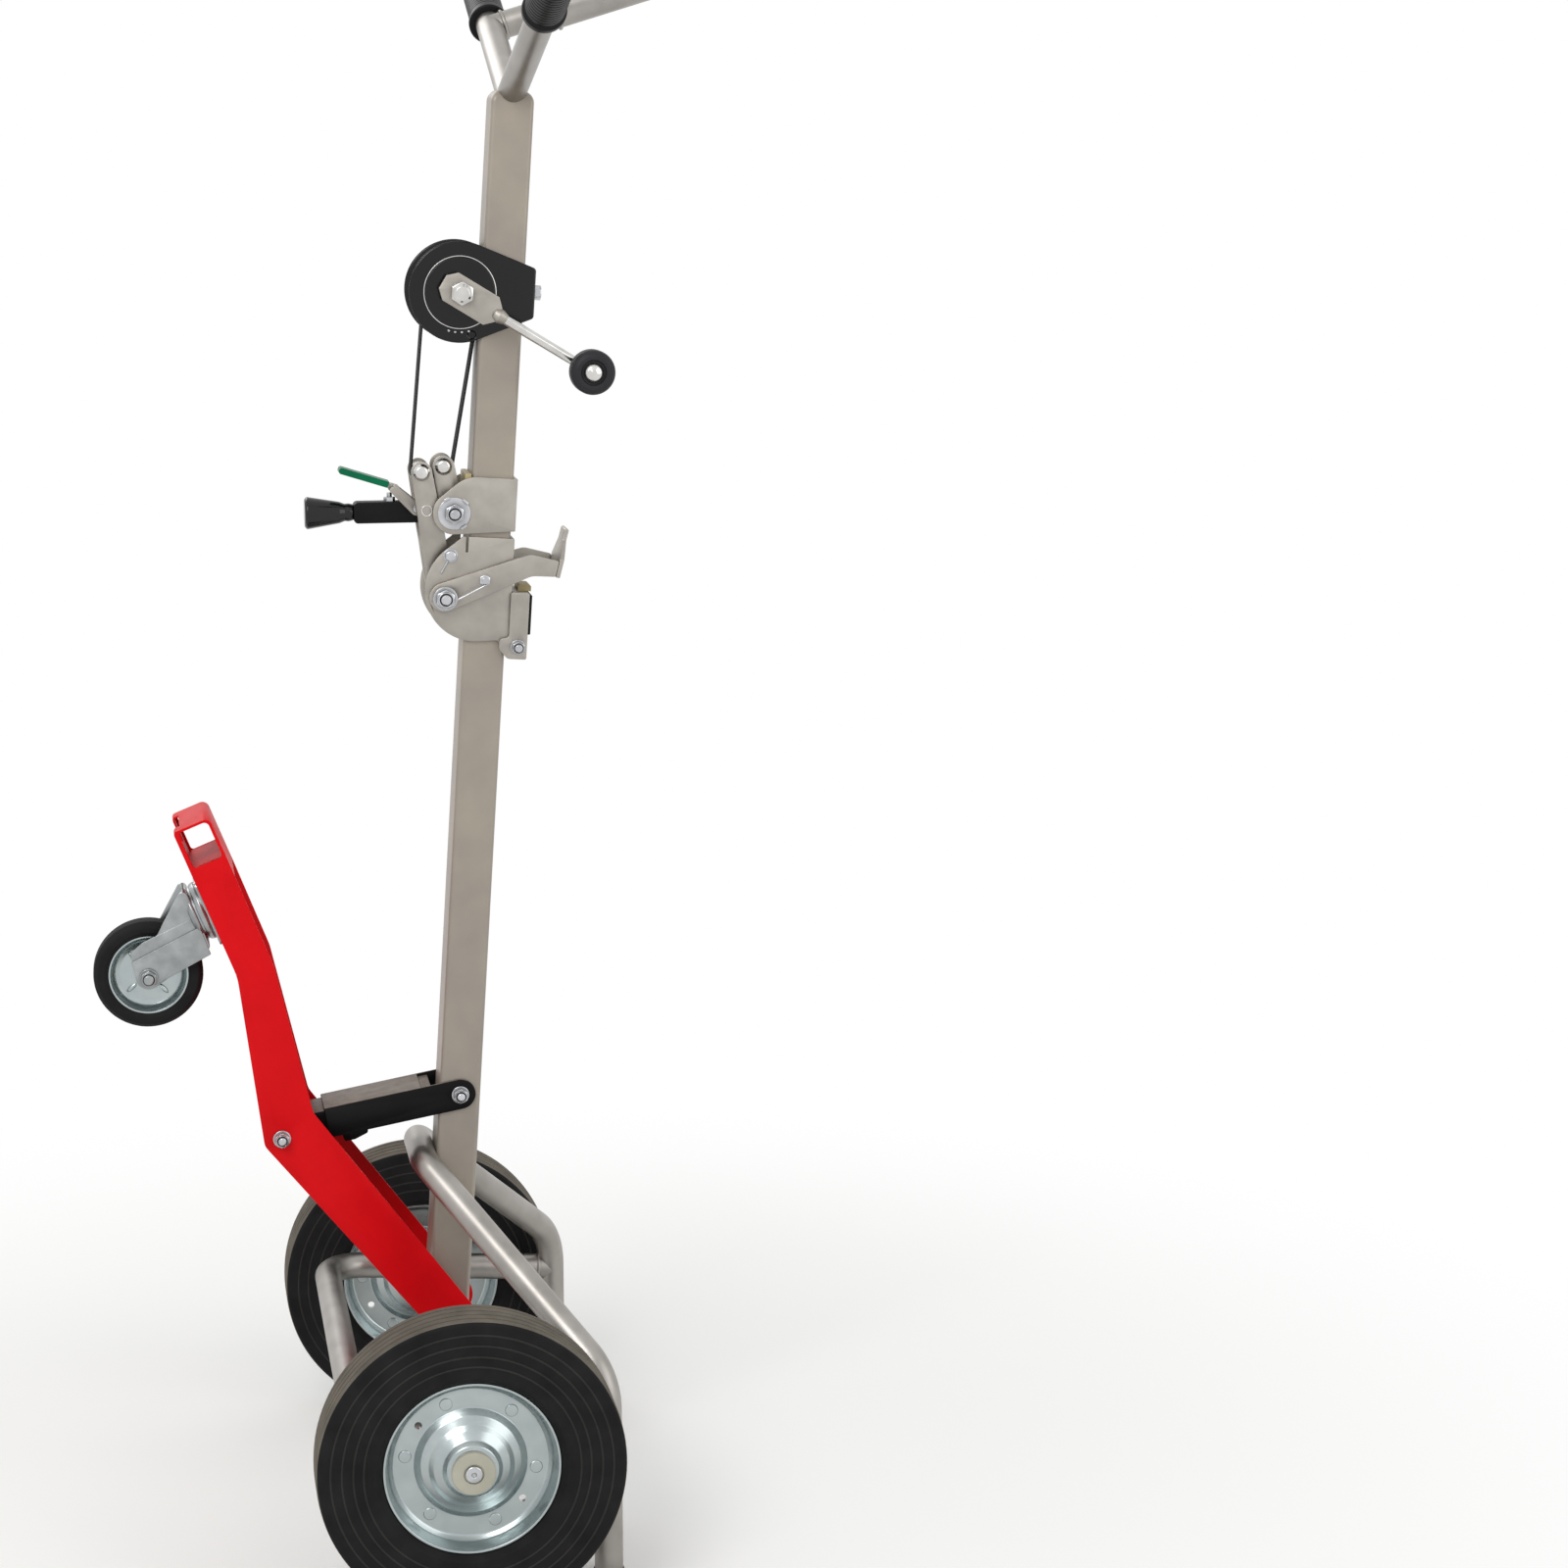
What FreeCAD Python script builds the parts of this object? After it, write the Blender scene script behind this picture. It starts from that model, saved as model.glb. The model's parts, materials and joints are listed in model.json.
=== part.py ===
import FreeCAD, Part
import math
import os
import Sketcher
from FreeCAD import Placement, Rotation, Vector

# Drum trolley with a telescopic support leg, a strap winch and a rim clamp on a sliding carriage.
# Lengths are in millimetres. The pieces are drawn upright in the mast's own axes, x forward,
# y to the left and z up the mast from the axle, and then lean forward together about the axle.

driving_sizes = {
    # Wheels and axle
    "wheel_diameter": 285, "tyre_width": 56, "rim_diameter": 164, "track": 560,
    "axle_diameter": 25, "hub_diameter": 34, "hub_length": 56, "rim_sheet": 2.5,
    "flange_inner": 50, "flange_outer": 71.5, "dome_radius": 31, "lip_width": 42, "rim_hole": 7,
    "axle_cap_diameter": 40, "axle_cap_thickness": 6, "axle_from_centre": 30.3,
    # Mast and handle
    "mast_lean": 3.9, "mast_depth": 40, "mast_width": 50, "mast_wall": 4, "mast_corner": 4,
    "mast_top": 1210, "mast_foot": 28, "cap_height": 33, "cap_round": 11,
    "tube_diameter": 26.9, "tube_wall": 3.2, "arm_rise": 17, "arm_length": 352, "arm_drop": 5,
    "grip_length": 112, "grip_diameter": 36, "grip_collar": 40,
    "bow_gap": 2.55, "bow_reach": 172.8, "bow_rise": 21, "bow_bend": 50,
    # Base hoop and brace hoop
    "hub_spacer": 12.95, "hoop_rear": 104, "hoop_bend": 42,
    "crown_height": 217, "crown_half_width": 46, "crown_bend": 30,
    "foot_forward": 134.7, "knuckle_height": 62, "knuckle_bend": 60, "foot_plug": 7, "plug_spigot": 22,
    # Support leg and strut
    "leg_width": 94, "leg_sheet": 2, "leg_pivot_x": 8, "leg_pivot_height": 52, "leg_end_radius": 22,
    "knee_x": -171.4, "knee_height": 237.8, "upper_leg": 312, "pivot_bolt": 10, "knee_play": 2.4,
    "strut_pivot_height": 280, "strut_height": 30, "strut_sheet": 2.5, "strut_length": 132,
    "strut_gap": 0.5, "strut_inner_sheet": 2, "strut_inner_start": 26, "latch_width": 24,
    # Castor
    "castor_place": 63.5, "castor_drop": 77.8, "castor_trail": 34.6,
    "castor_diameter": 104, "castor_tyre_width": 32, "castor_rim_diameter": 76, "castor_rim_sheet": 2.5,
    "fork_gap": 40, "castor_race_height": 9, "fork_eye": 12,
    "castor_sheet": 3, "castor_plate": 66, "castor_race": 54, "castor_bolt": 10,
    # Winch
    "winch_x": -41, "winch_drop": 156, "cheek_radius": 47.4, "cheek_sheet": 3, "cheek_front": 30,
    "cheek_below": 18, "cheek_above": 23, "cheek_corner": 4, "winch_shaft": 14,
    "spool_diameter": 68, "spool_core": 28, "spool_sheet": 2.5,
    "strap_width": 25, "strap_thickness": 1.5, "strap_pitch": 2, "strap_turns": 8,
    "brake_diameter": 68, "brake_thickness": 6, "crank_turn": 27.7, "crank_reach": 139,
    "crank_sheet": 5, "crank_stand_off": 46, "rod_diameter": 8, "knob_diameter": 42, "knob_length": 34,
    "anchor_gap": 2.4, "anchor_pin": 7,
    # Clamp carriage
    "carriage_drop": 287.4, "slide_gap": 0.5, "bracket_sheet": 3, "claw_pivot_x": -40.8,
    "trip_pivot_x": -35.4, "trip_pivot_rise": 79.7, "claw_sheet": 4, "claw_gap": 1.5,
    "claw_end_radius": 14.4, "claw_length": 107.3, "tongue_width": 30,
    "upper_below": 14.5, "upper_above": 35.5, "upper_nose": 20, "upper_shoulder": 30,
    "lower_below": 38.6, "lower_above": 58.4, "lower_round": 48.6, "lower_notch": 25,
    "lever_sheet": 3, "lever_top_x": -67.4, "lever_top_rise": 116.3, "lever_joggle": 3.5,
    "lever_inner": 16, "lever_foot": 13, "lever_tip": 10, "joggle_rise": 48, "joggle_run": 10,
    "link_pin_x": -46.4, "link_pin_rise": 122.4, "roller_diameter": 16, "pin_diameter": 8,
    "bar_height": 20, "bar_width": 20, "bar_length": 93, "trip_grip_length": 46, "trip_grip_diameter": 31,
    "release_sheet": 2.5, "release_pin": 6, "sleeve_thickness": 6, "sleeve_width": 22,
    "jaw_sheet": 2.5, "jaw_depth": 18, "jaw_gap": 0.5, "jaw_bolt_x": 31.5, "jaw_bolt_drop": 44.6,
                 "jaw_bolt": 8,
    "jaw_rise": 7.4, "jaw_foot": 12, "jaw_pad": 2.5, "rest_width": 32, "rest_height": 6,
    "spring_wire": 1.6, "spring_turns": 3,
    # Fits
    "running_fit": 0.05, "free_gap": 0.3,
}

doc = FreeCAD.newDocument("drum_trolley")
sheet = doc.addObject("Spreadsheet::Sheet", "Sizes")
for row, (alias, value) in enumerate(driving_sizes.items(), start=1):
    sheet.set(f"A{row}", alias)
    sheet.set(f"B{row}", str(value))
    sheet.setAlias(f"B{row}", alias)
doc.recompute()
size = {alias: float(sheet.get(alias)) for alias in driving_sizes}

wheel_radius = size["wheel_diameter"] / 2
lean = math.radians(size["mast_lean"])
lean_frame = Placement(Vector(size["axle_from_centre"], 0, wheel_radius),
                       Rotation(Vector(0, 1, 0), size["mast_lean"]))
mast_half_depth = size["mast_depth"] / 2
mast_half_width = size["mast_width"] / 2
tube_radius = size["tube_diameter"] / 2
axle_radius = size["axle_diameter"] / 2
winch_x = size["winch_x"]
winch_z = size["mast_top"] - size["winch_drop"]
base_z = winch_z - size["carriage_drop"]
nodes = {}


# Small tools for sketches and features

def new_body(name):
    return doc.addObject("PartDesign::Body", name)


def new_sketch(body, plane, lift=0):
    sketch = body.newObject("Sketcher::SketchObject", body.Name + "_sketch")
    support = next(feature for feature in body.Origin.OriginFeatures if feature.Role == plane)
    sketch.AttachmentSupport = (support, [""])
    sketch.MapMode = "FlatFace"
    sketch.AttachmentOffset = Placement(Vector(0, 0, lift), Rotation())
    return sketch


def flat(point):
    return Vector(point[0], point[1], 0)


def polygon_edges(corners):
    # Corners are (across, up, radius); each is rounded by an arc that touches both its sides.
    count = len(corners)
    starts, ends, arcs = [], [], []
    for index, (across, up, radius) in enumerate(corners):
        here = Vector(across, up, 0)
        before = (flat(corners[index - 1]) - here).normalize()
        after = (flat(corners[(index + 1) % count]) - here).normalize()
        half = before.getAngle(after) / 2
        reach = radius / math.tan(half) if radius else 0
        starts.append(here + before * reach)
        ends.append(here + after * reach)
        middle = here + (before + after).normalize() * (radius / math.sin(half) - radius) if radius else None
        arcs.append(middle)
    edges = []
    for index in range(count):
        if arcs[index]:
            edges.append(Part.Arc(starts[index], arcs[index], ends[index]))
        following = starts[(index + 1) % count]
        if (following - ends[index]).Length > 1e-4:
            edges.append(Part.LineSegment(ends[index], following))
    return edges


def belt_edges(circles):
    # The outline of a belt laid anticlockwise round circles given as (across, up, radius).
    count = len(circles)
    normals = []
    for index in range(count):
        here, there = circles[index], circles[(index + 1) % count]
        run = flat(there) - flat(here)
        along = run / run.Length
        lean_in = (here[2] - there[2]) / run.Length
        normals.append(along * lean_in + Vector(along.y, -along.x, 0) * math.sqrt(1 - lean_in ** 2))
    edges = []
    for index in range(count):
        circle = circles[index]
        first, last = normals[index - 1], normals[index]
        turn = (math.atan2(last.y, last.x) - math.atan2(first.y, first.x)) % (2 * math.pi)
        middle = Rotation(Vector(0, 0, 1), math.degrees(turn / 2)).multVec(first)
        centre = flat(circle)
        edges.append(Part.Arc(*[centre + normal * circle[2] for normal in (first, middle, last)]))
        following = circles[(index + 1) % count]
        edges.append(Part.LineSegment(centre + last * circle[2], flat(following) + last * following[2]))
    return edges


def draw(sketch, edges):
    sketch.addGeometry(edges, False)
    return sketch


def draw_circle(sketch, across, up, diameter):
    # The diameter is an expression over the sheet.
    index = sketch.addGeometry(Part.Circle(Vector(across, up, 0), Vector(0, 0, 1), 1), False)
    constraint = sketch.addConstraint(Sketcher.Constraint("Diameter", index, 2))
    sketch.setExpression(f"Constraints[{constraint}]", diameter)
    return sketch


def add_pad(body, sketch, length, symmetric=True):
    pad = body.newObject("PartDesign::Pad", body.Name + "_pad")
    pad.Profile = sketch
    pad.setExpression("Length", length)
    if symmetric:
        pad.SideType = "Symmetric"
    return pad


def add_pocket(body, sketch, length, upward=False):
    # A pocket reaches half its length to each side of its sketch, or only upward from it.
    pocket = body.newObject("PartDesign::Pocket", body.Name + "_pocket")
    pocket.Profile = sketch
    pocket.setExpression("Length", length)
    if upward:
        pocket.Reversed = True
    else:
        pocket.SideType = "Symmetric"
    return pocket


def add_revolution(body, corners):
    # The profile's corners are (radius, along, rounding) and turn about the body's own z axis.
    sketch = draw(new_sketch(body, "XZ_Plane"), polygon_edges(corners))
    revolution = body.newObject("PartDesign::Revolution", body.Name + "_turned")
    revolution.Profile = sketch
    revolution.ReferenceAxis = (sketch, ["V_Axis"])
    revolution.Angle = 360
    return revolution


def both_sides(corners):
    # A profile of one side and its mirror image at the other side of the middle plane.
    return corners + [(radius, -along, rounding) for radius, along, rounding in reversed(corners)]


def plate(name, edges, near_face, sheet_alias, holes=()):
    # A flat plate whose face nearest the mast's middle plane stands near_face to its right.
    body = new_body(name)
    sketch = draw(new_sketch(body, "XZ_Plane", near_face), edges)
    for across, up, diameter in holes:
        draw_circle(sketch, across, up, diameter)
    add_pad(body, sketch, f"Sizes.{sheet_alias}", symmetric=False)
    return body


def cylinder(name, radius, height, base, direction=Vector(0, 1, 0)):
    # Radius and height are expressions over the sheet.
    post = doc.addObject("Part::Cylinder", name)
    post.setExpression("Radius", radius)
    post.setExpression("Height", height)
    post.Placement = Placement(base, Rotation(Vector(0, 0, 1), direction))
    return post


def hexagon(name, circumradius, height, base, direction=Vector(0, 1, 0)):
    prism = doc.addObject("Part::Prism", name)
    prism.Polygon = 6
    prism.setExpression("Circumradius", circumradius)
    prism.setExpression("Height", height)
    prism.Placement = Placement(base, Rotation(Vector(0, 0, 1), direction))
    return prism


def fused(name, pieces):
    fusion = doc.addObject("Part::MultiFuse", name)
    fusion.Shapes = pieces
    return fusion


def cut(name, base, tool):
    difference = doc.addObject("Part::Cut", name)
    difference.Base = base
    difference.Tool = tool
    return difference


def mirrored(piece):
    other = doc.addObject("Part::Mirroring", piece.Name + "_left")
    other.Source = piece
    other.Normal = Vector(0, 1, 0)
    other.Base = Vector(0, 0, 0)
    return other


def grouped(name, pieces):
    group = doc.addObject("Part::Compound", name)
    group.Links = pieces
    return group


def pair(name, piece):
    return grouped(name, [piece, mirrored(piece)])


def shaped(name, shape):
    feature = doc.addObject("Part::Feature", name)
    feature.Shape = shape
    return feature


def keep(label, piece, frame=Placement()):
    # A finished piece takes its node's name and leans with the mast.
    piece.Label = label
    piece.Placement = lean_frame.multiply(frame)
    nodes[label] = piece


def through_bolt(name, x, z, diameter, half_length, head_radius, head_height, washer_radius,
                 washer_height):
    # A bolt across the trolley with a washer and hexagon at both ends; sizes are expressions.
    shank = cylinder(name + "_shank", f"({diameter}) / 2", f"2 * ({half_length})", Vector(x, 0, z))
    shank.setExpression("Placement.Base.y", f"-({half_length})")
    pieces = [shank]
    for side in (-1, 1):
        out = Vector(0, side, 0)
        washer = cylinder(f"{name}_washer", washer_radius, washer_height, Vector(x, 0, z), out)
        washer.setExpression("Placement.Base.y", f"{side} * ({half_length})")
        head = hexagon(f"{name}_hexagon", head_radius, head_height, Vector(x, 0, z), out)
        head.setExpression("Placement.Base.y", f"{side} * ({half_length} + {washer_height})")
        pieces += [washer, head]
    return fused(name, pieces)


# Bent tubes and wires

def route(points, radius):
    # Straight runs joined by tangent arcs; radius is one value or one for each inner point.
    edges = []
    start = points[0]
    for index in range(1, len(points) - 1):
        bend = radius[index - 1] if isinstance(radius, (list, tuple)) else radius
        here = points[index]
        before = (points[index - 1] - here).normalize()
        after = (points[index + 1] - here).normalize()
        half = before.getAngle(after) / 2
        first = here + before * (bend / math.tan(half))
        last = here + after * (bend / math.tan(half))
        middle = here + (before + after).normalize() * (bend / math.sin(half) - bend)
        edges.append(Part.LineSegment(start, first).toShape())
        edges.append(Part.Arc(first, middle, last).toShape())
        start = last
    edges.append(Part.LineSegment(start, points[-1]).toShape())
    return Part.Wire(edges)


def swept(path, radius):
    first = path.Edges[0]
    heading = first.tangentAt(first.FirstParameter)
    ring = Part.Wire(Part.Circle(path.Vertexes[0].Point, heading, radius).toShape())
    return path.makePipeShell([ring], True, False)


def bent_tube(points, bends):
    path = route(points, bends)
    return swept(path, tube_radius).cut(swept(path, tube_radius - size["tube_wall"]))


def mirror_points(points):
    return [Vector(point.x, -point.y, point.z) for point in reversed(points)]


# Mast and its cap

def mast_section(sketch, inset):
    across = mast_half_depth - inset
    deep = mast_half_width - inset
    corner = size["mast_corner"] - inset * 0.8
    return draw(sketch, polygon_edges([(across, -deep, corner), (across, deep, corner),
                                       (-across, deep, corner), (-across, -deep, corner)]))


mast = new_body("mast_body")
section = mast_section(new_sketch(mast, "XY_Plane", -size["mast_foot"]), 0)
mast_section(section, size["mast_wall"])
add_pad(mast, section, "Sizes.mast_top + Sizes.mast_foot", symmetric=False)
cross_holes = new_sketch(mast, "XZ_Plane")
draw_circle(cross_holes, 0, 0, "Sizes.axle_diameter + 2 * Sizes.running_fit")
draw_circle(cross_holes, size["leg_pivot_x"], size["leg_pivot_height"],
            "Sizes.pivot_bolt + 2 * Sizes.running_fit")
draw_circle(cross_holes, 0, size["strut_pivot_height"], "Sizes.pivot_bolt + 2 * Sizes.running_fit")
add_pocket(mast, cross_holes, "2 * Sizes.mast_width")
# The spool dips into the mast through a window in its rear wall
spool_window = draw_circle(new_sketch(mast, "XZ_Plane"), winch_x, winch_z, "Sizes.spool_diameter + 4")
add_pocket(mast, spool_window, "Sizes.strap_width + 2 * Sizes.spool_sheet + 8")
keep("mast", mast)

cap = new_body("cap_body")
add_pad(cap, mast_section(new_sketch(cap, "XY_Plane", size["mast_top"]), 0), "Sizes.cap_height",
        symmetric=False)
doc.recompute()
cap_blank = cap.Tip
cap_top = size["mast_top"] + size["cap_height"]
top_edges = [f"Edge{index}" for index, edge in enumerate(cap_blank.Shape.Edges, start=1)
             if all(abs(vertex.Z - cap_top) < 1e-6 for vertex in edge.Vertexes)]
cap_rounding = cap.newObject("PartDesign::Fillet", "cap_rounding")
cap_rounding.Base = (cap_blank, top_edges)
cap_rounding.setExpression("Radius", "Sizes.cap_round")
doc.recompute()
cap_solid = cap_rounding.Shape.copy()
hollow = mast_section(new_sketch(cap, "XY_Plane", size["mast_top"]), size["mast_wall"])
add_pocket(cap, hollow, "Sizes.cap_height - 3 * Sizes.mast_wall", upward=True)
keep("mast_cap", cap)

# Handle: two arms in a V, a bow that joins them in front, and two grips

arm_root = Vector(0, 0, cap_top - size["arm_drop"])
arm_rise = math.radians(size["arm_rise"])


def arm_heading(side):
    return Vector(0, side * math.cos(arm_rise), math.sin(arm_rise))


arms = []
for side in (-1, 1):
    rod = Part.makeCylinder(tube_radius, size["arm_length"], arm_root, arm_heading(side))
    bore = Part.makeCylinder(tube_radius - size["tube_wall"], size["arm_length"], arm_root,
                             arm_heading(side))
    half_space = Part.makeBox(4 * tube_radius, size["arm_length"], 2 * size["arm_length"],
                              Vector(-2 * tube_radius, min(0, side * size["arm_length"]), 0))
    half_space.translate(Vector(0, 0, cap_top - size["arm_length"]))
    arms.append(rod.cut(bore).common(half_space).cut(cap_solid))
keep("handle_arms", shaped("arms", Part.makeCompound(arms)))

grip_start = size["arm_length"] + 2 - size["grip_length"]
for side, label in ((-1, "handle_grip_right"), (1, "handle_grip_left")):
    grip = new_body(label + "_body")
    grip_radius = size["grip_diameter"] / 2
    collar = size["grip_collar"] / 2
    bore = tube_radius + size["running_fit"]
    length = size["grip_length"]
    add_revolution(grip, [(bore, 0, 0), (collar, 0, 2), (collar, 9, 2), (grip_radius - 1.5, 12, 2),
                          (grip_radius, length / 2, 30), (grip_radius - 1, length, 7), (0, length, 0),
                          (0, length - 2, 0), (bore, length - 2, 0)])
    heading = arm_heading(side)
    keep(label, grip, Placement(arm_root + heading * grip_start, Rotation(Vector(0, 0, 1), heading)))

bow_rise = math.radians(size["bow_rise"])
bow_place = grip_start - tube_radius - size["bow_gap"]
bow_root = arm_root + arm_heading(1) * bow_place
bow_front = bow_root + Vector(math.cos(bow_rise), 0, math.sin(bow_rise)) * size["bow_reach"]
bow_half = [bow_root, bow_front]
bow = bent_tube(bow_half + mirror_points(bow_half), size["bow_bend"])
for side in (-1, 1):
    bow = bow.cut(Part.makeCylinder(tube_radius, size["arm_length"], arm_root, arm_heading(side)))
keep("handle_bow", shaped("bow", bow))

# Axle, base hoop, brace hoop and foot plugs

hub_face = "(Sizes.track + Sizes.hub_length) / 2"
axle_half = f"({hub_face} + Sizes.axle_cap_thickness / 2)"
axle = cylinder("axle_rod", "Sizes.axle_diameter / 2", f"2 * {axle_half}", Vector(0, 0, 0))
axle_rod = doc.addObject("Part::Compound", "axle_piece")
axle.setExpression("Placement.Base.y", f"-{axle_half}")
axle_rod.Links = [axle]
keep("axle", axle_rod)

hoop_height = axle_radius + tube_radius
hub_inner = (size["track"] - size["hub_length"]) / 2
hoop_side = hub_inner - 2 * size["free_gap"] - size["hub_spacer"] - tube_radius
down = Vector(math.sin(lean), 0, -math.cos(lean))
floor_point = lean_frame.inverse().multVec(Vector(size["axle_from_centre"] + size["foot_forward"],
                                                  -hoop_side, 0))
foot_end = floor_point - down * size["foot_plug"]
knuckle = floor_point - down * ((size["knuckle_height"] - floor_point.z) / math.cos(lean))
crown_x = -mast_half_depth - tube_radius
crown = Vector(crown_x, -size["crown_half_width"], size["crown_height"])
brace_half = [foot_end, knuckle, crown]
brace_bends = [size["knuckle_bend"], size["crown_bend"], size["crown_bend"], size["knuckle_bend"]]
brace_path = route(brace_half + mirror_points(brace_half), brace_bends)
brace = bent_tube(brace_half + mirror_points(brace_half), brace_bends)
keep("brace_hoop", shaped("brace", brace))

hoop_front = floor_point - down * ((hoop_height - floor_point.z) / math.cos(lean))
hoop_half = [hoop_front, Vector(-size["hoop_rear"], -hoop_side, hoop_height)]
hoop = bent_tube(hoop_half + mirror_points(hoop_half), size["hoop_bend"])
hoop = hoop.cut(swept(brace_path, tube_radius))
keep("base_hoop", shaped("hoop", hoop))

plug = new_body("plug_body")
plug_bore = tube_radius - size["tube_wall"] - size["running_fit"]
plug_top = size["foot_plug"] + size["plug_spigot"]
add_revolution(plug, [(0, 0, 0), (tube_radius + 1, 0, 1.5), (tube_radius + 1, size["foot_plug"], 1),
                      (plug_bore, size["foot_plug"], 0), (plug_bore, plug_top, 2), (0, plug_top, 0)])
plug.Placement = Placement(floor_point, Rotation(Vector(0, 0, 1), down * -1))
keep("foot_plugs", pair("plugs", plug))

# Wheel spacers on the axle between the hoop and the hubs, and the caps outside the hubs

spacer = new_body("spacer_body")
spacer_inner = hoop_side + tube_radius + size["free_gap"]
spacer_outer = hub_inner - size["free_gap"]
axle_bore = axle_radius + size["running_fit"]
add_revolution(spacer, [(axle_bore, spacer_inner, 0), (axle_bore + 5, spacer_inner, 1),
                        (axle_bore + 5, spacer_outer, 1), (axle_bore, spacer_outer, 0)])
spacer.Placement = Placement(Vector(0, 0, 0), Rotation(Vector(1, 0, 0), 90))
axle_cap = new_body("axle_cap_body")
cap_inner = (size["track"] + size["hub_length"]) / 2 + size["free_gap"]
cap_outer = cap_inner + size["axle_cap_thickness"]
cap_radius = size["axle_cap_diameter"] / 2
axle_end = cap_inner - size["free_gap"] + size["axle_cap_thickness"] / 2
add_revolution(axle_cap, [(axle_bore, cap_inner, 0), (cap_radius, cap_inner, 1),
                          (cap_radius, cap_outer, 2),
                          (8, cap_outer, 0), (7, cap_outer + 2, 0.8), (0, cap_outer + 2, 0),
                          (0, axle_end, 0), (axle_bore, axle_end, 0)])
axle_cap.Placement = Placement(Vector(0, 0, 0), Rotation(Vector(1, 0, 0), 90))
keep("wheel_retainers", grouped("retainers", [spacer, mirrored(spacer), axle_cap, mirrored(axle_cap)]))

# Main wheels: hub tube, riveted pressed rim and solid tyre with a grooved tread

lip = size["lip_width"] / 2
rim_radius = size["rim_diameter"] / 2
hub_radius = size["hub_diameter"] / 2
hub_half = size["hub_length"] / 2
sheet_rim = size["rim_sheet"]
flange_inner = size["flange_inner"]
flange_outer = size["flange_outer"]
dome = size["dome_radius"]
hub_seat = hub_radius + size["running_fit"]
rim_side = [(rim_radius, lip - 2, 0), (rim_radius, lip, 0), (rim_radius - 2.5, lip, 0),
            (flange_outer + 3.5, 6, 3), (flange_outer, sheet_rim, 0), (flange_inner, sheet_rim, 0),
            (flange_inner - 4, 8.5, 0), (flange_inner - 8.5, 10, 0), (dome, 19, 0),
            (dome - 6.5, hub_half - 2.5, 0),
            (hub_seat, hub_half - 1, 0), (hub_seat, hub_half - 1 - sheet_rim, 0),
            (dome - 8, hub_half - 2.5 - sheet_rim, 0), (dome - 2, 16, 0),
            (flange_inner - 3, sheet_rim, 0)]
rim_profile = [(flange_outer + 3, 0, 0)] + both_sides(rim_side)
tread = wheel_radius
groove = 2.5
tyre_half = size["tyre_width"] / 2
seat = size["free_gap"]
tyre_side = [(flange_outer + 3 + 2 * seat, 0.2, 0), (rim_radius + seat, lip - 2 + seat, 0),
             (rim_radius + seat, lip + 0.5, 0),
             (rim_radius + 9, tyre_half, 0), (tread - 9, tyre_half - 0.5, 4), (tread, tyre_half - 7, 2),
             (tread, 9.5, 0), (tread - groove, 8.5, 0), (tread - groove, 7, 0), (tread, 6, 0)]
tyre_profile = both_sides(tyre_side)

for side, hand in ((-1, "right"), (1, "left")):
    wheel_frame = Placement(Vector(0, side * size["track"] / 2, 0), Rotation(Vector(1, 0, 0), -90 * side))
    hub = new_body(f"wheel_hub_{hand}_body")
    add_revolution(hub, [(axle_bore, -hub_half, 0.6), (hub_radius, -hub_half, 0.8),
                         (hub_radius, hub_half, 0.8), (axle_bore, hub_half, 0.6)])
    keep(f"wheel_hub_{hand}", hub, wheel_frame)
    rim = new_body(f"wheel_rim_{hand}_body")
    add_revolution(rim, rim_profile)
    rim_holes = new_sketch(rim, "XY_Plane")
    hole_circle = (flange_inner + flange_outer) / 2
    for angle in (145, 325):
        turn = math.radians(angle)
        draw_circle(rim_holes, hole_circle * math.cos(turn), hole_circle * math.sin(turn),
                    "Sizes.rim_hole")
    add_pocket(rim, rim_holes, "Sizes.tyre_width")
    keep(f"wheel_rim_{hand}", rim, wheel_frame)
    tyre = new_body(f"wheel_tyre_{hand}_body")
    add_revolution(tyre, tyre_profile)
    keep(f"wheel_tyre_{hand}", tyre, wheel_frame)

# Support leg: folded sheet, open at the front, with a hand hole at the top

leg_x, leg_z = size["leg_pivot_x"], size["leg_pivot_height"]
knee_x, knee_z = size["knee_x"], size["knee_height"]
knee_turn = math.atan2(knee_z - leg_z, knee_x - leg_x)
end_radius = size["leg_end_radius"]
along_leg = Vector(math.cos(knee_turn), math.sin(knee_turn), 0)
across_leg = Vector(-along_leg.y, along_leg.x, 0)
leg_foot = Vector(leg_x, leg_z, 0)
rear_foot = leg_foot - along_leg * end_radius + across_leg * end_radius
front_foot = leg_foot - along_leg * end_radius - across_leg * end_radius


leg_unit = size["upper_leg"] / 312


def from_knee(across, up, radius=0):
    # The leg's outline is drawn up from the knee on a grid of 312 units to its top.
    return (knee_x + across * leg_unit, knee_z + up * leg_unit, radius * leg_unit)


def at_top(forward, down, radius=0):
    # The box at the leg's top is drawn from its rear corner, square to the web behind it.
    return from_knee(-115 + 0.9 * forward + 0.4314 * down, 296 + 0.436 * forward - 0.9022 * down, radius)


top_run = 36.7
rear_line = [from_knee(-16, -8, 14), from_knee(-49, 158, 60)]
top_line = [at_top(0, 0, 4), at_top(top_run, 0, 7)]
front_line = [at_top(top_run, 66, 25), from_knee(-15, 170, 40), from_knee(29, 26, 18)]
leg_outline = ([(front_foot.x, front_foot.y, end_radius - 0.5)] + front_line[::-1] + top_line[::-1]
               + rear_line[::-1] + [(rear_foot.x, rear_foot.y, end_radius - 0.5)])
leg = new_body("leg_body")
add_pad(leg, draw(new_sketch(leg, "XZ_Plane"), polygon_edges(leg_outline)), "Sizes.leg_width")
sheet_leg = size["leg_sheet"]
thick = sheet_leg / leg_unit
inside = leg_foot - along_leg * (2.7 * end_radius) + across_leg * (1.9 * end_radius)
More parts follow.
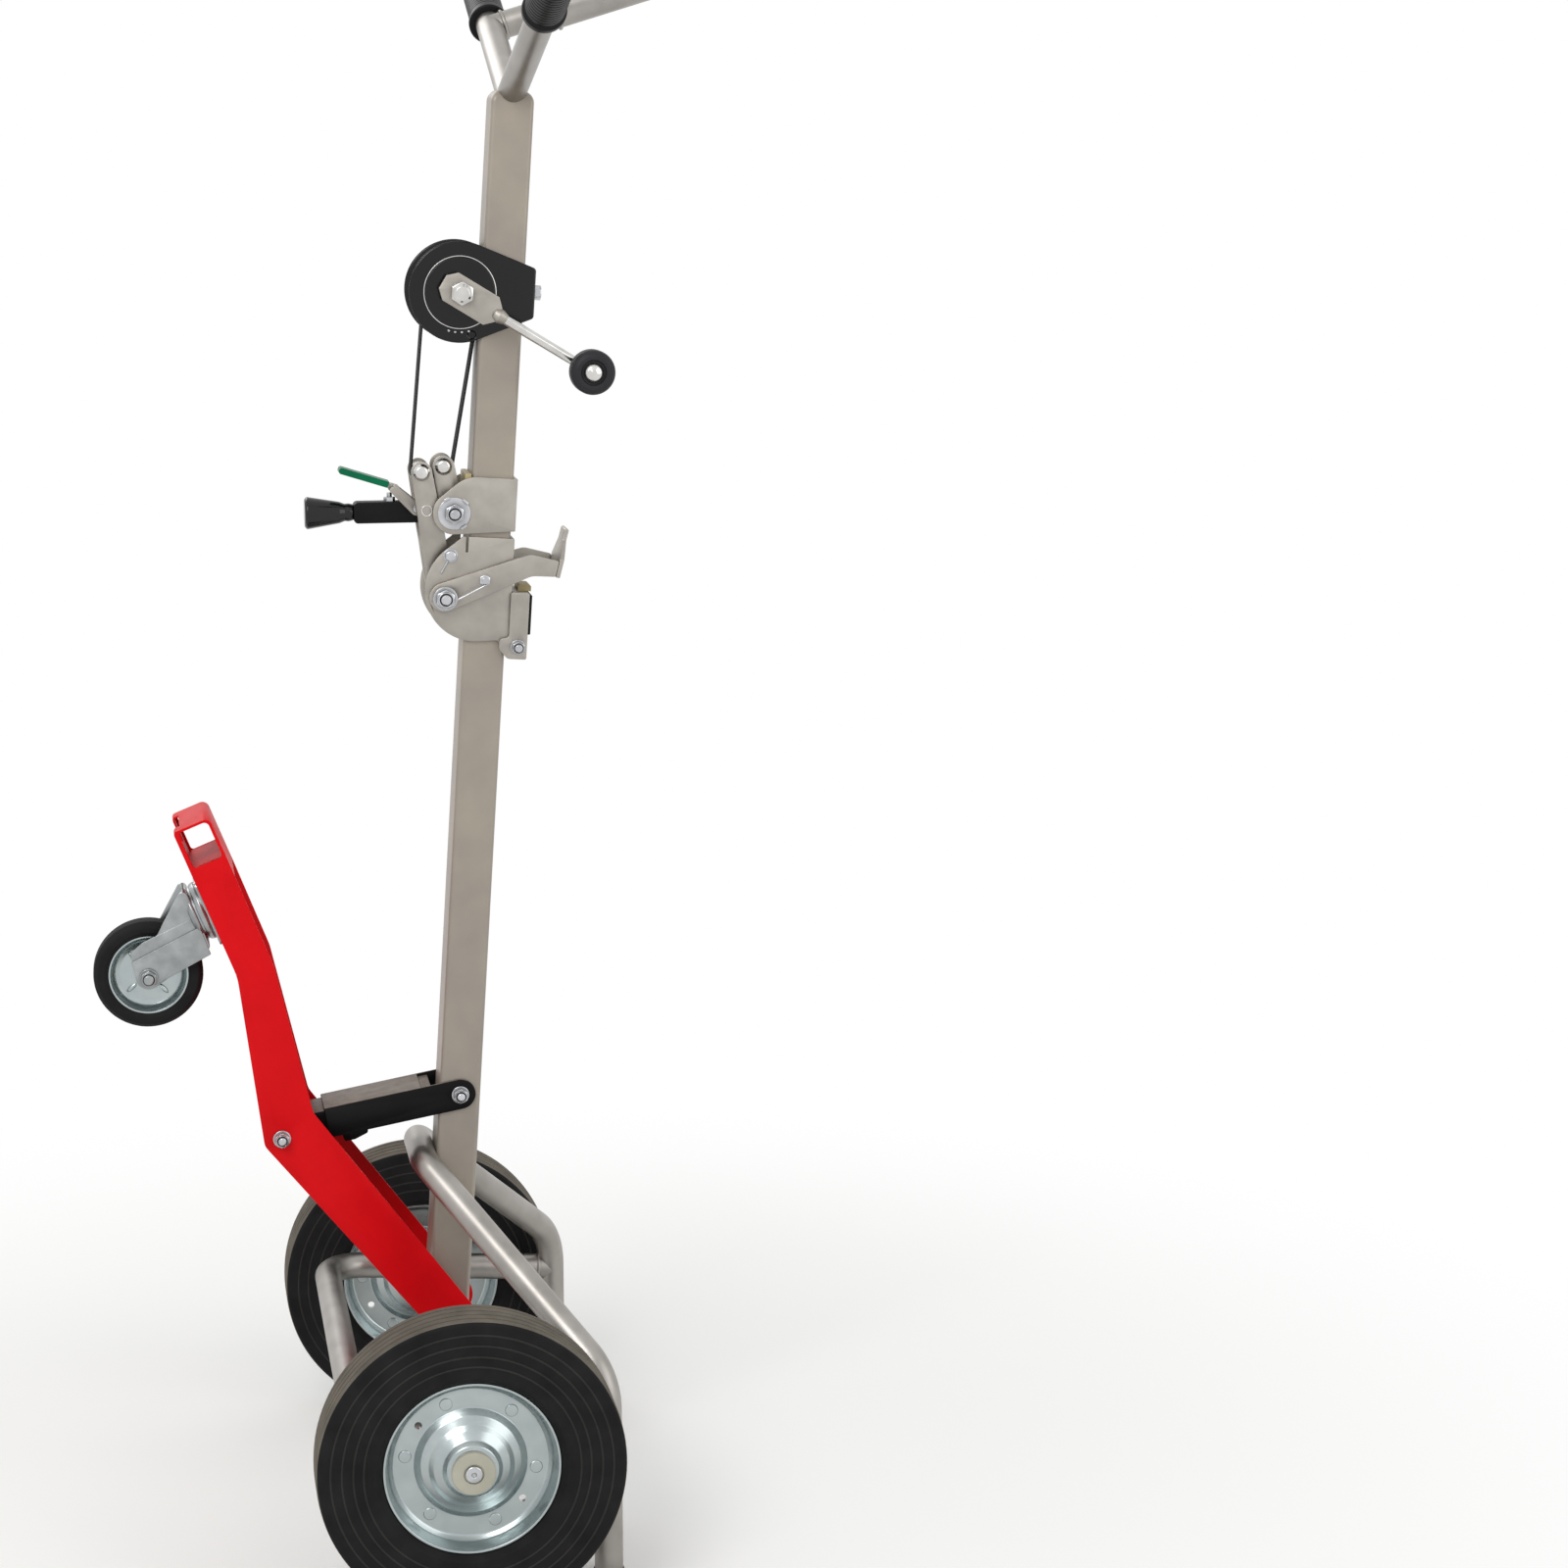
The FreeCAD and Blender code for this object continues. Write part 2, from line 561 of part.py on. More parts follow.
inner_rear = [from_knee(-16 + 0.9 * thick, -8 + 1.2 * thick, 12), from_knee(-49 + 1.05 * thick, 158, 58),
              at_top(thick, thick, 2), at_top(top_run - thick, thick, 5)]
web_end = leg_foot + along_leg * (4.3 * end_radius) + across_leg * (end_radius - sheet_leg)
web_gap = leg_foot + along_leg * (4.3 * end_radius) + across_leg * (2.8 * end_radius)
flange_end = 62
leg_inside = ([from_knee(120, 250), at_top(2 * top_run, flange_end), at_top(top_run - thick, flange_end)]
              + inner_rear[::-1]
              + [(web_end.x, web_end.y, 0), (web_gap.x, web_gap.y, 0), (inside.x, inside.y, 0),
                 (leg_x + 5 * end_radius, leg_z - 2.5 * end_radius, 0)])
add_pocket(leg, draw(new_sketch(leg, "XZ_Plane"), polygon_edges(leg_inside)),
           "Sizes.leg_width - 2 * Sizes.leg_sheet")
hole_top, hole_bottom = thick + 0.6, 39.5
hole_rear, hole_front = 4.5, top_run - 3
window = [at_top(hole_rear, hole_top, 3), at_top(hole_rear, hole_bottom, 3),
          at_top(hole_front, hole_bottom, 3), at_top(hole_front, hole_top, 5)]
add_pocket(leg, draw(new_sketch(leg, "XZ_Plane"), polygon_edges(window)), "2 * Sizes.leg_width")
slot = [at_top(-2 * thick, -2 * thick), at_top(-2 * thick, 24), at_top(1.5 * thick, 24),
        at_top(1.5 * thick, 1.5 * thick), at_top(7, 1.5 * thick), at_top(7, -2 * thick)]
add_pocket(leg, draw(new_sketch(leg, "XZ_Plane"), polygon_edges(slot)), "0.57 * Sizes.leg_width")
leg_holes = new_sketch(leg, "XZ_Plane")
draw_circle(leg_holes, leg_x, leg_z, "Sizes.pivot_bolt + 2 * Sizes.running_fit")
draw_circle(leg_holes, knee_x, knee_z, "Sizes.pivot_bolt + 2 * Sizes.running_fit")
add_pocket(leg, leg_holes, "2 * Sizes.leg_width")
shelf_top = hole_bottom + 0.2
shelf = [at_top(thick / 2, shelf_top), at_top(thick / 2, shelf_top + thick),
         at_top(top_run - thick / 2, shelf_top + thick), at_top(top_run - thick / 2, shelf_top)]
add_pad(leg, draw(new_sketch(leg, "XZ_Plane"), polygon_edges(shelf)), "Sizes.leg_width - Sizes.leg_sheet")
keep("support_leg", leg)


def sleeve(name, x, z, inner, outer, bore):
    # A spacer tube on a pivot bolt from one face to the next on the right; sizes are expressions.
    body = new_body(name)
    ring = draw_circle(draw_circle(new_sketch(body, "XZ_Plane"), x, z, bore), x, z, f"{bore} + 8")
    ring.setExpression("AttachmentOffset.Base.z", inner)
    add_pad(body, ring, f"{outer} - ({inner})", symmetric=False)
    return body


bolt_hexagon = "0.95 * Sizes.pivot_bolt"
bolt_washer = "1.05 * Sizes.pivot_bolt"
leg_inner_face = "Sizes.leg_width / 2 - Sizes.leg_sheet - Sizes.free_gap"
sleeve_bore = "Sizes.pivot_bolt + 2 * Sizes.running_fit"
leg_bolt = through_bolt("leg_bolt", leg_x, leg_z, "Sizes.pivot_bolt",
                        "Sizes.leg_width / 2 + Sizes.free_gap",
                        bolt_hexagon, "8", bolt_washer, "2")
leg_sleeve = sleeve("leg_sleeve", leg_x, leg_z, "Sizes.mast_width / 2", leg_inner_face, sleeve_bore)
strut_outer_half = "Sizes.mast_width / 2 + Sizes.strut_gap + Sizes.strut_sheet"
strut_bolt = through_bolt("strut_bolt", 0, size["strut_pivot_height"], "Sizes.pivot_bolt",
                          f"{strut_outer_half} + Sizes.free_gap", bolt_hexagon, "7", bolt_washer, "2")
keep("frame_pivot_bolts", grouped("frame_bolts", [leg_bolt, strut_bolt, leg_sleeve,
                                                  mirrored(leg_sleeve)]))
knee_bolt = through_bolt("knee_fastener", knee_x, knee_z, "Sizes.pivot_bolt", "Sizes.leg_width / 2",
                         bolt_hexagon, "8", bolt_washer, "2")
keep("knee_bolt", grouped("knee_fasteners", [knee_bolt]))

# Telescopic strut, drawn with its mast pivot at the origin and the knee at negative x

strut_rise = math.atan2(size["strut_pivot_height"] - knee_z, -knee_x)
knee_reach = math.hypot(size["strut_pivot_height"] - knee_z, knee_x)
strut_frame = Placement(Vector(0, 0, size["strut_pivot_height"]),
                        Rotation(Vector(0, 1, 0), -math.degrees(strut_rise)))
strut_half = size["strut_height"] / 2
strut_end = -size["strut_length"]
strut_outer = new_body("strut_outer_body")
strut_outline = belt_edges([(strut_end + 1, -strut_half + 1, 1), (0, 0, strut_half),
                            (strut_end + 1, strut_half - 1, 1)])
add_pad(strut_outer, draw(new_sketch(strut_outer, "XZ_Plane"), strut_outline),
        f"2 * ({strut_outer_half})")
bore_half = strut_half - size["strut_sheet"]
fork_root = -(mast_half_depth + 16)
past_end = strut_half + 5
channel = [(strut_end - 5, -bore_half, 0), (past_end, -bore_half, 0), (past_end, bore_half, 0),
           (strut_end - 5, bore_half, 0)]
strut_bore_width = "Sizes.mast_width + 2 * Sizes.strut_gap"
add_pocket(strut_outer, draw(new_sketch(strut_outer, "XZ_Plane"), polygon_edges(channel)),
           strut_bore_width)
fork_mouth = [(fork_root, -past_end, 0), (past_end, -past_end, 0), (past_end, past_end, 0),
              (fork_root, past_end, 0)]
add_pocket(strut_outer, draw(new_sketch(strut_outer, "XZ_Plane"), polygon_edges(fork_mouth)),
           strut_bore_width)
strut_hole = draw_circle(new_sketch(strut_outer, "XZ_Plane"), 0, 0,
                         "Sizes.pivot_bolt + 2 * Sizes.running_fit")
add_pocket(strut_outer, strut_hole, "4 * Sizes.mast_width")
keep("strut_outer", strut_outer, strut_frame)

strut_inner = new_body("strut_inner_body")
inner_half = bore_half - size["free_gap"]
inner_front = -size["strut_inner_start"]
inner_rear = -knee_reach - inner_half
inner_width = "Sizes.mast_width + 2 * Sizes.strut_gap - 2 * Sizes.free_gap"
inner_outline = polygon_edges([(inner_rear, -inner_half, inner_half - 0.5), (inner_front, -inner_half, 1),
                               (inner_front, inner_half, 1), (inner_rear, inner_half, inner_half - 0.5)])
add_pad(strut_inner, draw(new_sketch(strut_inner, "XZ_Plane"), inner_outline), inner_width)
inner_bore_half = inner_half - size["strut_inner_sheet"]
inner_bore = [(inner_rear - 5, -inner_bore_half, 0), (inner_front + 5, -inner_bore_half, 0),
              (inner_front + 5, inner_bore_half, 0), (inner_rear - 5, inner_bore_half, 0)]
add_pocket(strut_inner, draw(new_sketch(strut_inner, "XZ_Plane"), polygon_edges(inner_bore)),
           f"{inner_width} - 2 * Sizes.strut_inner_sheet")
eye = draw_circle(new_sketch(strut_inner, "XZ_Plane"), -knee_reach, 0,
                  "Sizes.pivot_bolt + 2 * Sizes.knee_play")
add_pocket(strut_inner, eye, "4 * Sizes.mast_width")
keep("strut_inner", strut_inner, strut_frame)

latch = new_body("latch_body")
latch_top = -strut_half - size["free_gap"]
latch_outline = polygon_edges([(strut_end + 12, latch_top, 0), (strut_end + 14, latch_top - 11, 2),
                               (strut_end + 24, latch_top - 11, 3), (strut_end + 38, latch_top - 7, 3),
                               (strut_end + 38, latch_top, 0)])
add_pad(latch, draw(new_sketch(latch, "XZ_Plane"), latch_outline), "Sizes.latch_width")
keep("strut_latch", latch, strut_frame)

# Castor, drawn upright below its plate with the wheel trailing along x

web_start = Vector(rear_line[1][0], 0, rear_line[1][1])
web_run = Vector(top_line[0][0], 0, top_line[0][1]) - web_start
castor_seat = web_start + web_run / web_run.Length * size["castor_place"]
castor_turn = math.degrees(math.atan2(web_run.z, -web_run.x))
castor_frame = Placement(castor_seat, Rotation(Vector(0, 1, 0), castor_turn))
sheet_castor = size["castor_sheet"]
race = size["castor_race"] / 2
plate_half = size["castor_plate"] / 2
head = new_body("castor_head_body")
plate_deep = 0.85 * plate_half
head_corners = [(plate_half, -plate_deep, 6), (plate_half, plate_deep, 6), (-plate_half, plate_deep, 6),
                (-plate_half, -plate_deep, 6)]
head_top = -size["free_gap"]
add_pad(head, draw(new_sketch(head, "XY_Plane", head_top - sheet_castor), polygon_edges(head_corners)),
        "Sizes.castor_sheet", symmetric=False)
race_low = head_top - sheet_castor - size["castor_race_height"]
race_sketch = draw_circle(new_sketch(head, "XY_Plane", race_low), 0, 0, "Sizes.castor_race")
add_pad(head, race_sketch, "Sizes.castor_race_height + 1", symmetric=False)
race_hollow = draw_circle(new_sketch(head, "XY_Plane", race_low), 0, 0, "Sizes.castor_race / 2")
add_pocket(head, race_hollow, "Sizes.castor_race_height", upward=True)
keep("castor_head", head, castor_frame)

fork_top = race_low - size["free_gap"]
drop = size["castor_drop"]
trail = size["castor_trail"]
fork_half = size["fork_gap"] / 2
fork = new_body("castor_fork_body")
cheek_outline = belt_edges([(trail, -drop, size["fork_eye"]), (race + 1, fork_top - 5, 5),
                            (-race + 3, fork_top - 5, 5)])
add_pad(fork, draw(new_sketch(fork, "XZ_Plane"), cheek_outline),
        "Sizes.fork_gap + 2 * Sizes.castor_sheet")
fork_inside = [(-race - 20, fork_top - sheet_castor, 0), (-race - 20, -drop - 40, 0),
               (trail + 60, -drop - 40, 0),
               (trail + 60, fork_top - sheet_castor, 0)]
add_pocket(fork, draw(new_sketch(fork, "XZ_Plane"), polygon_edges(fork_inside)), "Sizes.fork_gap")
fork_hole = draw_circle(new_sketch(fork, "XZ_Plane"), trail, -drop,
                        "Sizes.castor_bolt + 2 * Sizes.running_fit")
add_pocket(fork, fork_hole, "4 * Sizes.fork_gap")
keep("castor_fork", fork, castor_frame)

castor_bolt = through_bolt("castor_fastener", trail, -drop, "Sizes.castor_bolt",
                           "Sizes.fork_gap / 2 + Sizes.castor_sheet", "9", "6", "10", "1.5")
keep("castor_axle", grouped("castor_fasteners", [castor_bolt]), castor_frame)

castor_radius = size["castor_diameter"] / 2
castor_half = size["castor_tyre_width"] / 2
castor_rim_radius = size["castor_rim_diameter"] / 2
castor_bore = size["castor_bolt"] / 2 + size["running_fit"]
castor_wheel_frame = castor_frame.multiply(Placement(Vector(trail, 0, -drop),
                                                     Rotation(Vector(1, 0, 0), 90)))
castor_hub = fork_half - 1
castor_disc = size["castor_rim_sheet"] / 2
rim_inside = castor_rim_radius - 1.2 * size["castor_rim_sheet"]
castor_rim = new_body("castor_rim_body")
rim_face = [(castor_bore, castor_hub, 0), (castor_bore + 5, castor_hub, 0),
            (castor_bore + 5, castor_disc, 2),
            (rim_inside - 3, castor_disc, 2), (rim_inside, castor_half - 3, 0),
            (castor_rim_radius, castor_half - 3, 0)]
add_revolution(castor_rim, both_sides(rim_face))
keep("castor_rim", castor_rim, castor_wheel_frame)
castor_tyre = new_body("castor_tyre_body")
tyre_seat = castor_rim_radius + size["running_fit"]
tyre_face = [(tyre_seat, castor_half - 2, 0), (castor_radius - 6, castor_half, 2),
             (castor_radius, castor_half - 6, 3)]
add_revolution(castor_tyre, both_sides(tyre_face))
keep("castor_tyre", castor_tyre, castor_wheel_frame)

# Winch: cheeks on the sides of the mast, clamp plate, shaft, spool with the strap roll, brake and crank

cheek_low, cheek_high = winch_z - size["cheek_below"], winch_z + size["cheek_above"]
cheek_corner = size["cheek_corner"]
cheek_front = size["cheek_front"] - cheek_corner
cheek_edges = belt_edges([(cheek_front, cheek_low, cheek_corner), (cheek_front, cheek_high, cheek_corner),
                          (winch_x, winch_z, size["cheek_radius"])])
shaft_hole = "Sizes.winch_shaft + 2 * Sizes.running_fit"
anchor_hole = "Sizes.anchor_pin + 2 * Sizes.running_fit"
# The anchor pin stands behind the mast, clear of the mast and of the spool by the strap and a gap
anchor_room = size["anchor_pin"] / 2 + size["strap_thickness"] + size["anchor_gap"]
anchor_x = -mast_half_depth - anchor_room
anchor_z = winch_z - math.sqrt((size["spool_diameter"] / 2 + anchor_room) ** 2 - (anchor_x - winch_x) ** 2)
cheek_holes = [(winch_x, winch_z, shaft_hole), (anchor_x, anchor_z, anchor_hole)]
right_cheek = plate("winch_cheek", cheek_edges, mast_half_width, "cheek_sheet", cheek_holes)
keep("winch_cheeks", pair("winch_cheek_pair", right_cheek))

clamp = new_body("clamp_body")
clamp_front = size["cheek_front"] - 1
clamp_wall = size["cheek_sheet"]
clamp_half = mast_half_width
clamp_corners = [(mast_half_depth, -clamp_half, 0), (clamp_front, -clamp_half, 0),
                 (clamp_front, clamp_half, 0),
                 (mast_half_depth, clamp_half, 0), (mast_half_depth, clamp_half - clamp_wall, 0),
                 (clamp_front - clamp_wall, clamp_half - clamp_wall, 0),
                 (clamp_front - clamp_wall, clamp_wall - clamp_half, 0),
                 (mast_half_depth, clamp_wall - clamp_half, 0)]
clamp_sketch = draw(new_sketch(clamp, "XY_Plane", cheek_low), polygon_edges(clamp_corners))
add_pad(clamp, clamp_sketch, "Sizes.cheek_below + Sizes.cheek_above", symmetric=False)
keep("winch_clamp_plate", clamp)

winch_middle = (cheek_low + cheek_high) / 2
anchor_half = "Sizes.mast_width / 2 + Sizes.cheek_sheet"
anchor = cylinder("anchor", "Sizes.anchor_pin / 2", f"2 * ({anchor_half})",
                  Vector(anchor_x, 0, anchor_z))
anchor.setExpression("Placement.Base.y", f"-({anchor_half})")
clamp_bolt = hexagon("clamp_bolt", "7.5", "5.5", Vector(clamp_front, 0, winch_middle), Vector(1, 0, 0))
keep("winch_bolts", grouped("winch_fasteners", [anchor, clamp_bolt]))

winch_frame = Placement(Vector(winch_x, 0, winch_z), Rotation(Vector(1, 0, 0), 90))
shaft_radius = size["winch_shaft"] / 2
spool_half = size["strap_width"] / 2 + 3 + size["spool_sheet"]
collar_end = mast_half_width - size["free_gap"]
cheek_outer = mast_half_width + size["cheek_sheet"]
brake_inner = cheek_outer + size["free_gap"]
brake_outer = brake_inner + size["brake_thickness"]
crank_inner = size["crank_stand_off"]
crank_outer = crank_inner + size["crank_sheet"]
shaft = new_body("winch_shaft_body")
add_revolution(shaft, [(0, -cheek_outer - 4, 0), (shaft_radius, -cheek_outer - 4, 1),
                       (shaft_radius, -collar_end, 0),
                       (shaft_radius + 6, -collar_end, 0), (shaft_radius + 6, -spool_half - 0.2, 0),
                       (shaft_radius, -spool_half - 0.2, 0), (shaft_radius, spool_half + 0.2, 0),
                       (shaft_radius + 6, spool_half + 0.2, 0), (shaft_radius + 6, collar_end, 0),
                       (shaft_radius, collar_end, 0), (shaft_radius, brake_outer + 0.2, 0),
                       (shaft_radius + 5, brake_outer + 0.2, 0), (shaft_radius + 5, crank_inner, 0),
                       (shaft_radius - 1, crank_inner, 0), (shaft_radius - 1, crank_outer + 9, 1),
                       (0, crank_outer + 9, 0)])
keep("winch_shaft", shaft, winch_frame)

spool = new_body("spool_body")
spool_bore = shaft_radius + size["running_fit"]
core = size["spool_core"] / 2
spool_rim = size["spool_diameter"] / 2
spool_wall = spool_half - size["spool_sheet"]
spool_side = [(spool_bore, spool_half, 0), (spool_rim, spool_half, 0.8), (spool_rim, spool_wall, 0.8),
              (core, spool_wall, 0)]
add_revolution(spool, both_sides(spool_side))
keep("strap_spool", spool, winch_frame)

# The strap roll is one spiral of half turns, each about a centre that steps from side to side

strap = size["strap_thickness"]
pitch = size["strap_pitch"]
roll_radius = core + size["free_gap"] + strap + pitch * size["strap_turns"]
half_turns = int(2 * size["strap_turns"])
strap_edge = -size["strap_width"] / 2


def spiral_side(outer):
    # One edge of the strap from the left of the roll inward; outer is its radius at the start.
    edges = []
    for index in range(half_turns):
        side = -1 if index % 2 == 0 else 1
        start = outer - index * pitch / 2
        finish = start - pitch / 2
        centre = side * pitch / 4
        first = Vector(winch_x + side * start, strap_edge, winch_z)
        last = Vector(winch_x - side * finish, strap_edge, winch_z)
        middle = Vector(winch_x + centre, strap_edge, winch_z - side * (start - pitch / 4))
        edges.append(Part.Arc(first, middle, last).toShape())
    return edges


outside = spiral_side(roll_radius)
inside_edges = spiral_side(roll_radius - strap)
inner_end = Part.LineSegment(outside[-1].Vertexes[-1].Point,
                             inside_edges[-1].Vertexes[-1].Point).toShape()
outer_end = Part.LineSegment(inside_edges[0].Vertexes[0].Point, outside[0].Vertexes[0].Point).toShape()
roll_face = Part.Face(Part.Wire(Part.__sortEdges__(outside + inside_edges + [inner_end, outer_end])))
roll = roll_face.extrude(Vector(0, size["strap_width"], 0))
print("strap roll: turns", size["strap_turns"], "gap between turns", round(pitch - strap, 2))
keep("strap_roll", shaped("roll", roll))

brake = new_body("brake_body")
brake_radius = size["brake_diameter"] / 2
add_revolution(brake, [(spool_bore, brake_inner, 0), (brake_radius, brake_inner, 0),
                       (brake_radius, brake_outer - 2, 0),
                       (brake_radius - 2, brake_outer, 0), (brake_radius - 7, brake_outer, 0),
                       (brake_radius - 8, brake_outer - 2, 0), (spool_bore, brake_outer - 2, 0)])
keep("brake_disc", brake, winch_frame)

# The crank is drawn along x from the shaft and then turned down

crank_frame = Placement(Vector(winch_x, 0, winch_z), Rotation(Vector(0, 1, 0), size["crank_turn"]))
crank_tip = 40
crank_plate = plate("crank_plate_body",
                    polygon_edges([(-20.5, -7, 1), (-12, -15, 1), (32, -15, 1), (crank_tip, -7, 1),
                                   (crank_tip, 7, 1), (32, 15, 1), (-12, 15, 1), (-20.5, 7, 1)]),
                    crank_inner + 0.1, "crank_sheet",
                    [(0, 0, "Sizes.winch_shaft - 2 + 2 * Sizes.running_fit")])
keep("crank_plate", crank_plate, crank_frame)
rod_y = -(crank_inner + size["crank_sheet"] / 2)
reach = size["crank_reach"]
rod = cylinder("rod", "Sizes.rod_diameter / 2", f"Sizes.crank_reach - {crank_tip}",
               Vector(crank_tip, rod_y, 0), Vector(1, 0, 0))
rod_eye = cylinder("rod_eye", "Sizes.rod_diameter", "Sizes.rod_diameter + 2",
                   Vector(reach, rod_y + size["rod_diameter"] / 2 + 1, 0), Vector(0, -1, 0))
keep("crank_rod", fused("crank_rod_piece", [rod, rod_eye]), crank_frame)

knob_inner = -rod_y + size["rod_diameter"] / 2 + 1 + size["free_gap"]
knob_outer = knob_inner + size["knob_length"]
knob_bore = size["anchor_pin"] / 2 + size["running_fit"]
knob_radius = size["knob_diameter"] / 2
knob = new_body("knob_body")
add_revolution(knob, [(knob_bore, knob_inner, 0), (knob_radius * 0.62, knob_inner, 3),
                      (knob_radius, knob_inner + 12, 6),
                      (knob_radius, knob_outer - 4, 6), (knob_radius - 5, knob_outer, 3),
                      (knob_radius * 0.55, knob_outer, 0),
                      (knob_radius * 0.5, knob_outer - 3, 0), (knob_bore, knob_outer - 3, 0)])
knob_frame = crank_frame.multiply(Placement(Vector(reach, 0, 0), Rotation(Vector(1, 0, 0), 90)))
keep("crank_knob", knob, knob_frame)
knob_bolt = new_body("knob_bolt_body")
bolt_start = -rod_y + size["rod_diameter"] / 2 + 1
head_seat = knob_outer - 3 + size["free_gap"]
add_revolution(knob_bolt, [(0, bolt_start, 0), (size["anchor_pin"] / 2, bolt_start, 0),
                           (size["anchor_pin"] / 2, head_seat, 0),
                           (knob_radius * 0.45, head_seat, 0), (knob_radius * 0.45, head_seat + 2, 1.5),
                           (4, head_seat + 6, 4),
                           (0, head_seat + 6.5, 0)])
knob_bolt.Placement = Placement(Vector(reach, 0, 0), Rotation(Vector(1, 0, 0), 90))
crank_nut = hexagon("crank_nut", "10.5", "7", Vector(0, -crank_outer - 0.1, 0), Vector(0, -1, 0))
nut_hole = cylinder("crank_nut_hole", "Sizes.winch_shaft / 2 - 1 + Sizes.running_fit", "20",
                    Vector(0, 0, 0), Vector(0, -1, 0))
nut_hole.Placement.Base = Vector(0, -crank_outer + 2, 0)
crank_fasteners = grouped("crank_bolt_set", [cut("nut", crank_nut, nut_hole), knob_bolt])
keep("crank_fasteners", crank_fasteners, crank_frame)

# Clamp carriage: two brackets folded round the mast

claw_x = size["claw_pivot_x"]
trip_x = size["trip_pivot_x"]
trip_z = base_z + size["trip_pivot_rise"]
bracket_inner = mast_half_width + size["slide_gap"]
bracket_outer = bracket_inner + size["bracket_sheet"]
bracket_front = mast_half_depth + size["slide_gap"]
bracket_face = bracket_front + size["bracket_sheet"]
bracket_width = "Sizes.mast_width + 2 * Sizes.slide_gap + 2 * Sizes.bracket_sheet"
bracket_bore = "Sizes.mast_width + 2 * Sizes.slide_gap"
far_back = -120


def bracket(name, edges, low, high, holes):
    body = new_body(name)
    sketch = draw(new_sketch(body, "XZ_Plane"), edges)
    for across, up, diameter in holes:
        draw_circle(sketch, across, up, diameter)
    add_pad(body, sketch, bracket_width)
    opening = [(far_back, low - 30, 0), (bracket_front, low - 30, 0), (bracket_front, high + 30, 0),
               (far_back, high + 30, 0)]
    add_pocket(body, draw(new_sketch(body, "XZ_Plane"), polygon_edges(opening)), bracket_bore)
    return body


bolt_hole = "Sizes.pivot_bolt + 2 * Sizes.running_fit"
upper_low, upper_high = trip_z - size["upper_below"], trip_z + size["upper_above"]
shoulder = size["upper_shoulder"]
upper_edges = belt_edges([(bracket_face - 1, upper_low + 1, 1), (bracket_face - 1, upper_high - 1, 1),
                          (0.7 * -mast_half_depth, upper_high - shoulder, shoulder),
                          (trip_x, trip_z, size["upper_nose"])])
upper = bracket("upper_bracket", upper_edges, upper_low, upper_high, [(trip_x, trip_z, bolt_hole)])
keep("carriage_upper_bracket", upper)

lower_low, lower_high = base_z - size["lower_below"], base_z + size["lower_above"]
lower_round = size["lower_round"]
jaw_x, jaw_z = size["jaw_bolt_x"], base_z - size["jaw_bolt_drop"]
lower_edges = belt_edges([(bracket_face - 1, lower_low + 1, 1), (bracket_face - 1, lower_high - 1, 1),
                          (-size["lower_notch"], lower_high - 1, 1),
                          (claw_x + 0.623 * lower_round, lower_low + 0.94 * lower_round, lower_round)])
lower = bracket("lower_bracket", lower_edges, lower_low, lower_high, [(claw_x, base_z, bolt_hole)])
ear_edges = belt_edges([(bracket_face - 17.5, lower_low + 12, 8), (jaw_x, jaw_z, 0.9 * size["jaw_bolt"]),
                        (bracket_face - 4, lower_low + 18, 3)])
add_pad(lower, draw(new_sketch(lower, "XZ_Plane"), ear_edges), bracket_width)
ear_gap = [(bracket_face, jaw_z - 40, 0), (jaw_x + 30, jaw_z - 40, 0), (jaw_x + 30, lower_low + 40, 0),
           (bracket_face, lower_low + 40, 0)]
add_pocket(lower, draw(new_sketch(lower, "XZ_Plane"), polygon_edges(ear_gap)), bracket_bore)
under_front = [(far_back, jaw_z - 40, 0), (bracket_face + 1, jaw_z - 40, 0),
               (bracket_face + 1, lower_low, 0), (far_back, lower_low, 0)]
add_pocket(lower, draw(new_sketch(lower, "XZ_Plane"), polygon_edges(under_front)), bracket_bore)
inside_again = [(far_back, lower_low - 1, 0), (bracket_front, lower_low - 1, 0),
                (bracket_front, lower_high, 0), (far_back, lower_high, 0)]
add_pocket(lower, draw(new_sketch(lower, "XZ_Plane"), polygon_edges(inside_again)), bracket_bore)
slot_back, slot_front = -mast_half_depth - 2.6, -mast_half_depth - 0.2
slot = [(slot_back, lower_high - 15, 0), (slot_front, lower_high - 15, 0),
        (slot_front, lower_high + 5, 0),
        (slot_back, lower_high + 5, 0)]
lower_cuts = draw(new_sketch(lower, "XZ_Plane"), polygon_edges(slot))
draw_circle(lower_cuts, jaw_x, jaw_z, "Sizes.jaw_bolt + 2 * Sizes.running_fit")
add_pocket(lower, lower_cuts, "4 * Sizes.mast_width")
keep("carriage_lower_bracket", lower)

pads = []
for name, low, high in (("upper_pad", trip_z + 17, trip_z + 38),
                        ("lower_pad", lower_low + 6, lower_low + 28)):
    pad_body = new_body(name)
    back = -mast_half_depth - size["slide_gap"]
    pad_corners = [(back - 5.5, low, 1.5), (back, low, 0), (back, high, 0), (back - 5.5, high, 1.5)]
    add_pad(pad_body, draw(new_sketch(pad_body, "XZ_Plane"), polygon_edges(pad_corners)), bracket_bore)
    pads.append(pad_body)
keep("slide_pads", grouped("pads", pads))

# Claw: two arms outside the lower bracket, the jaw that joins them, spring pins and springs

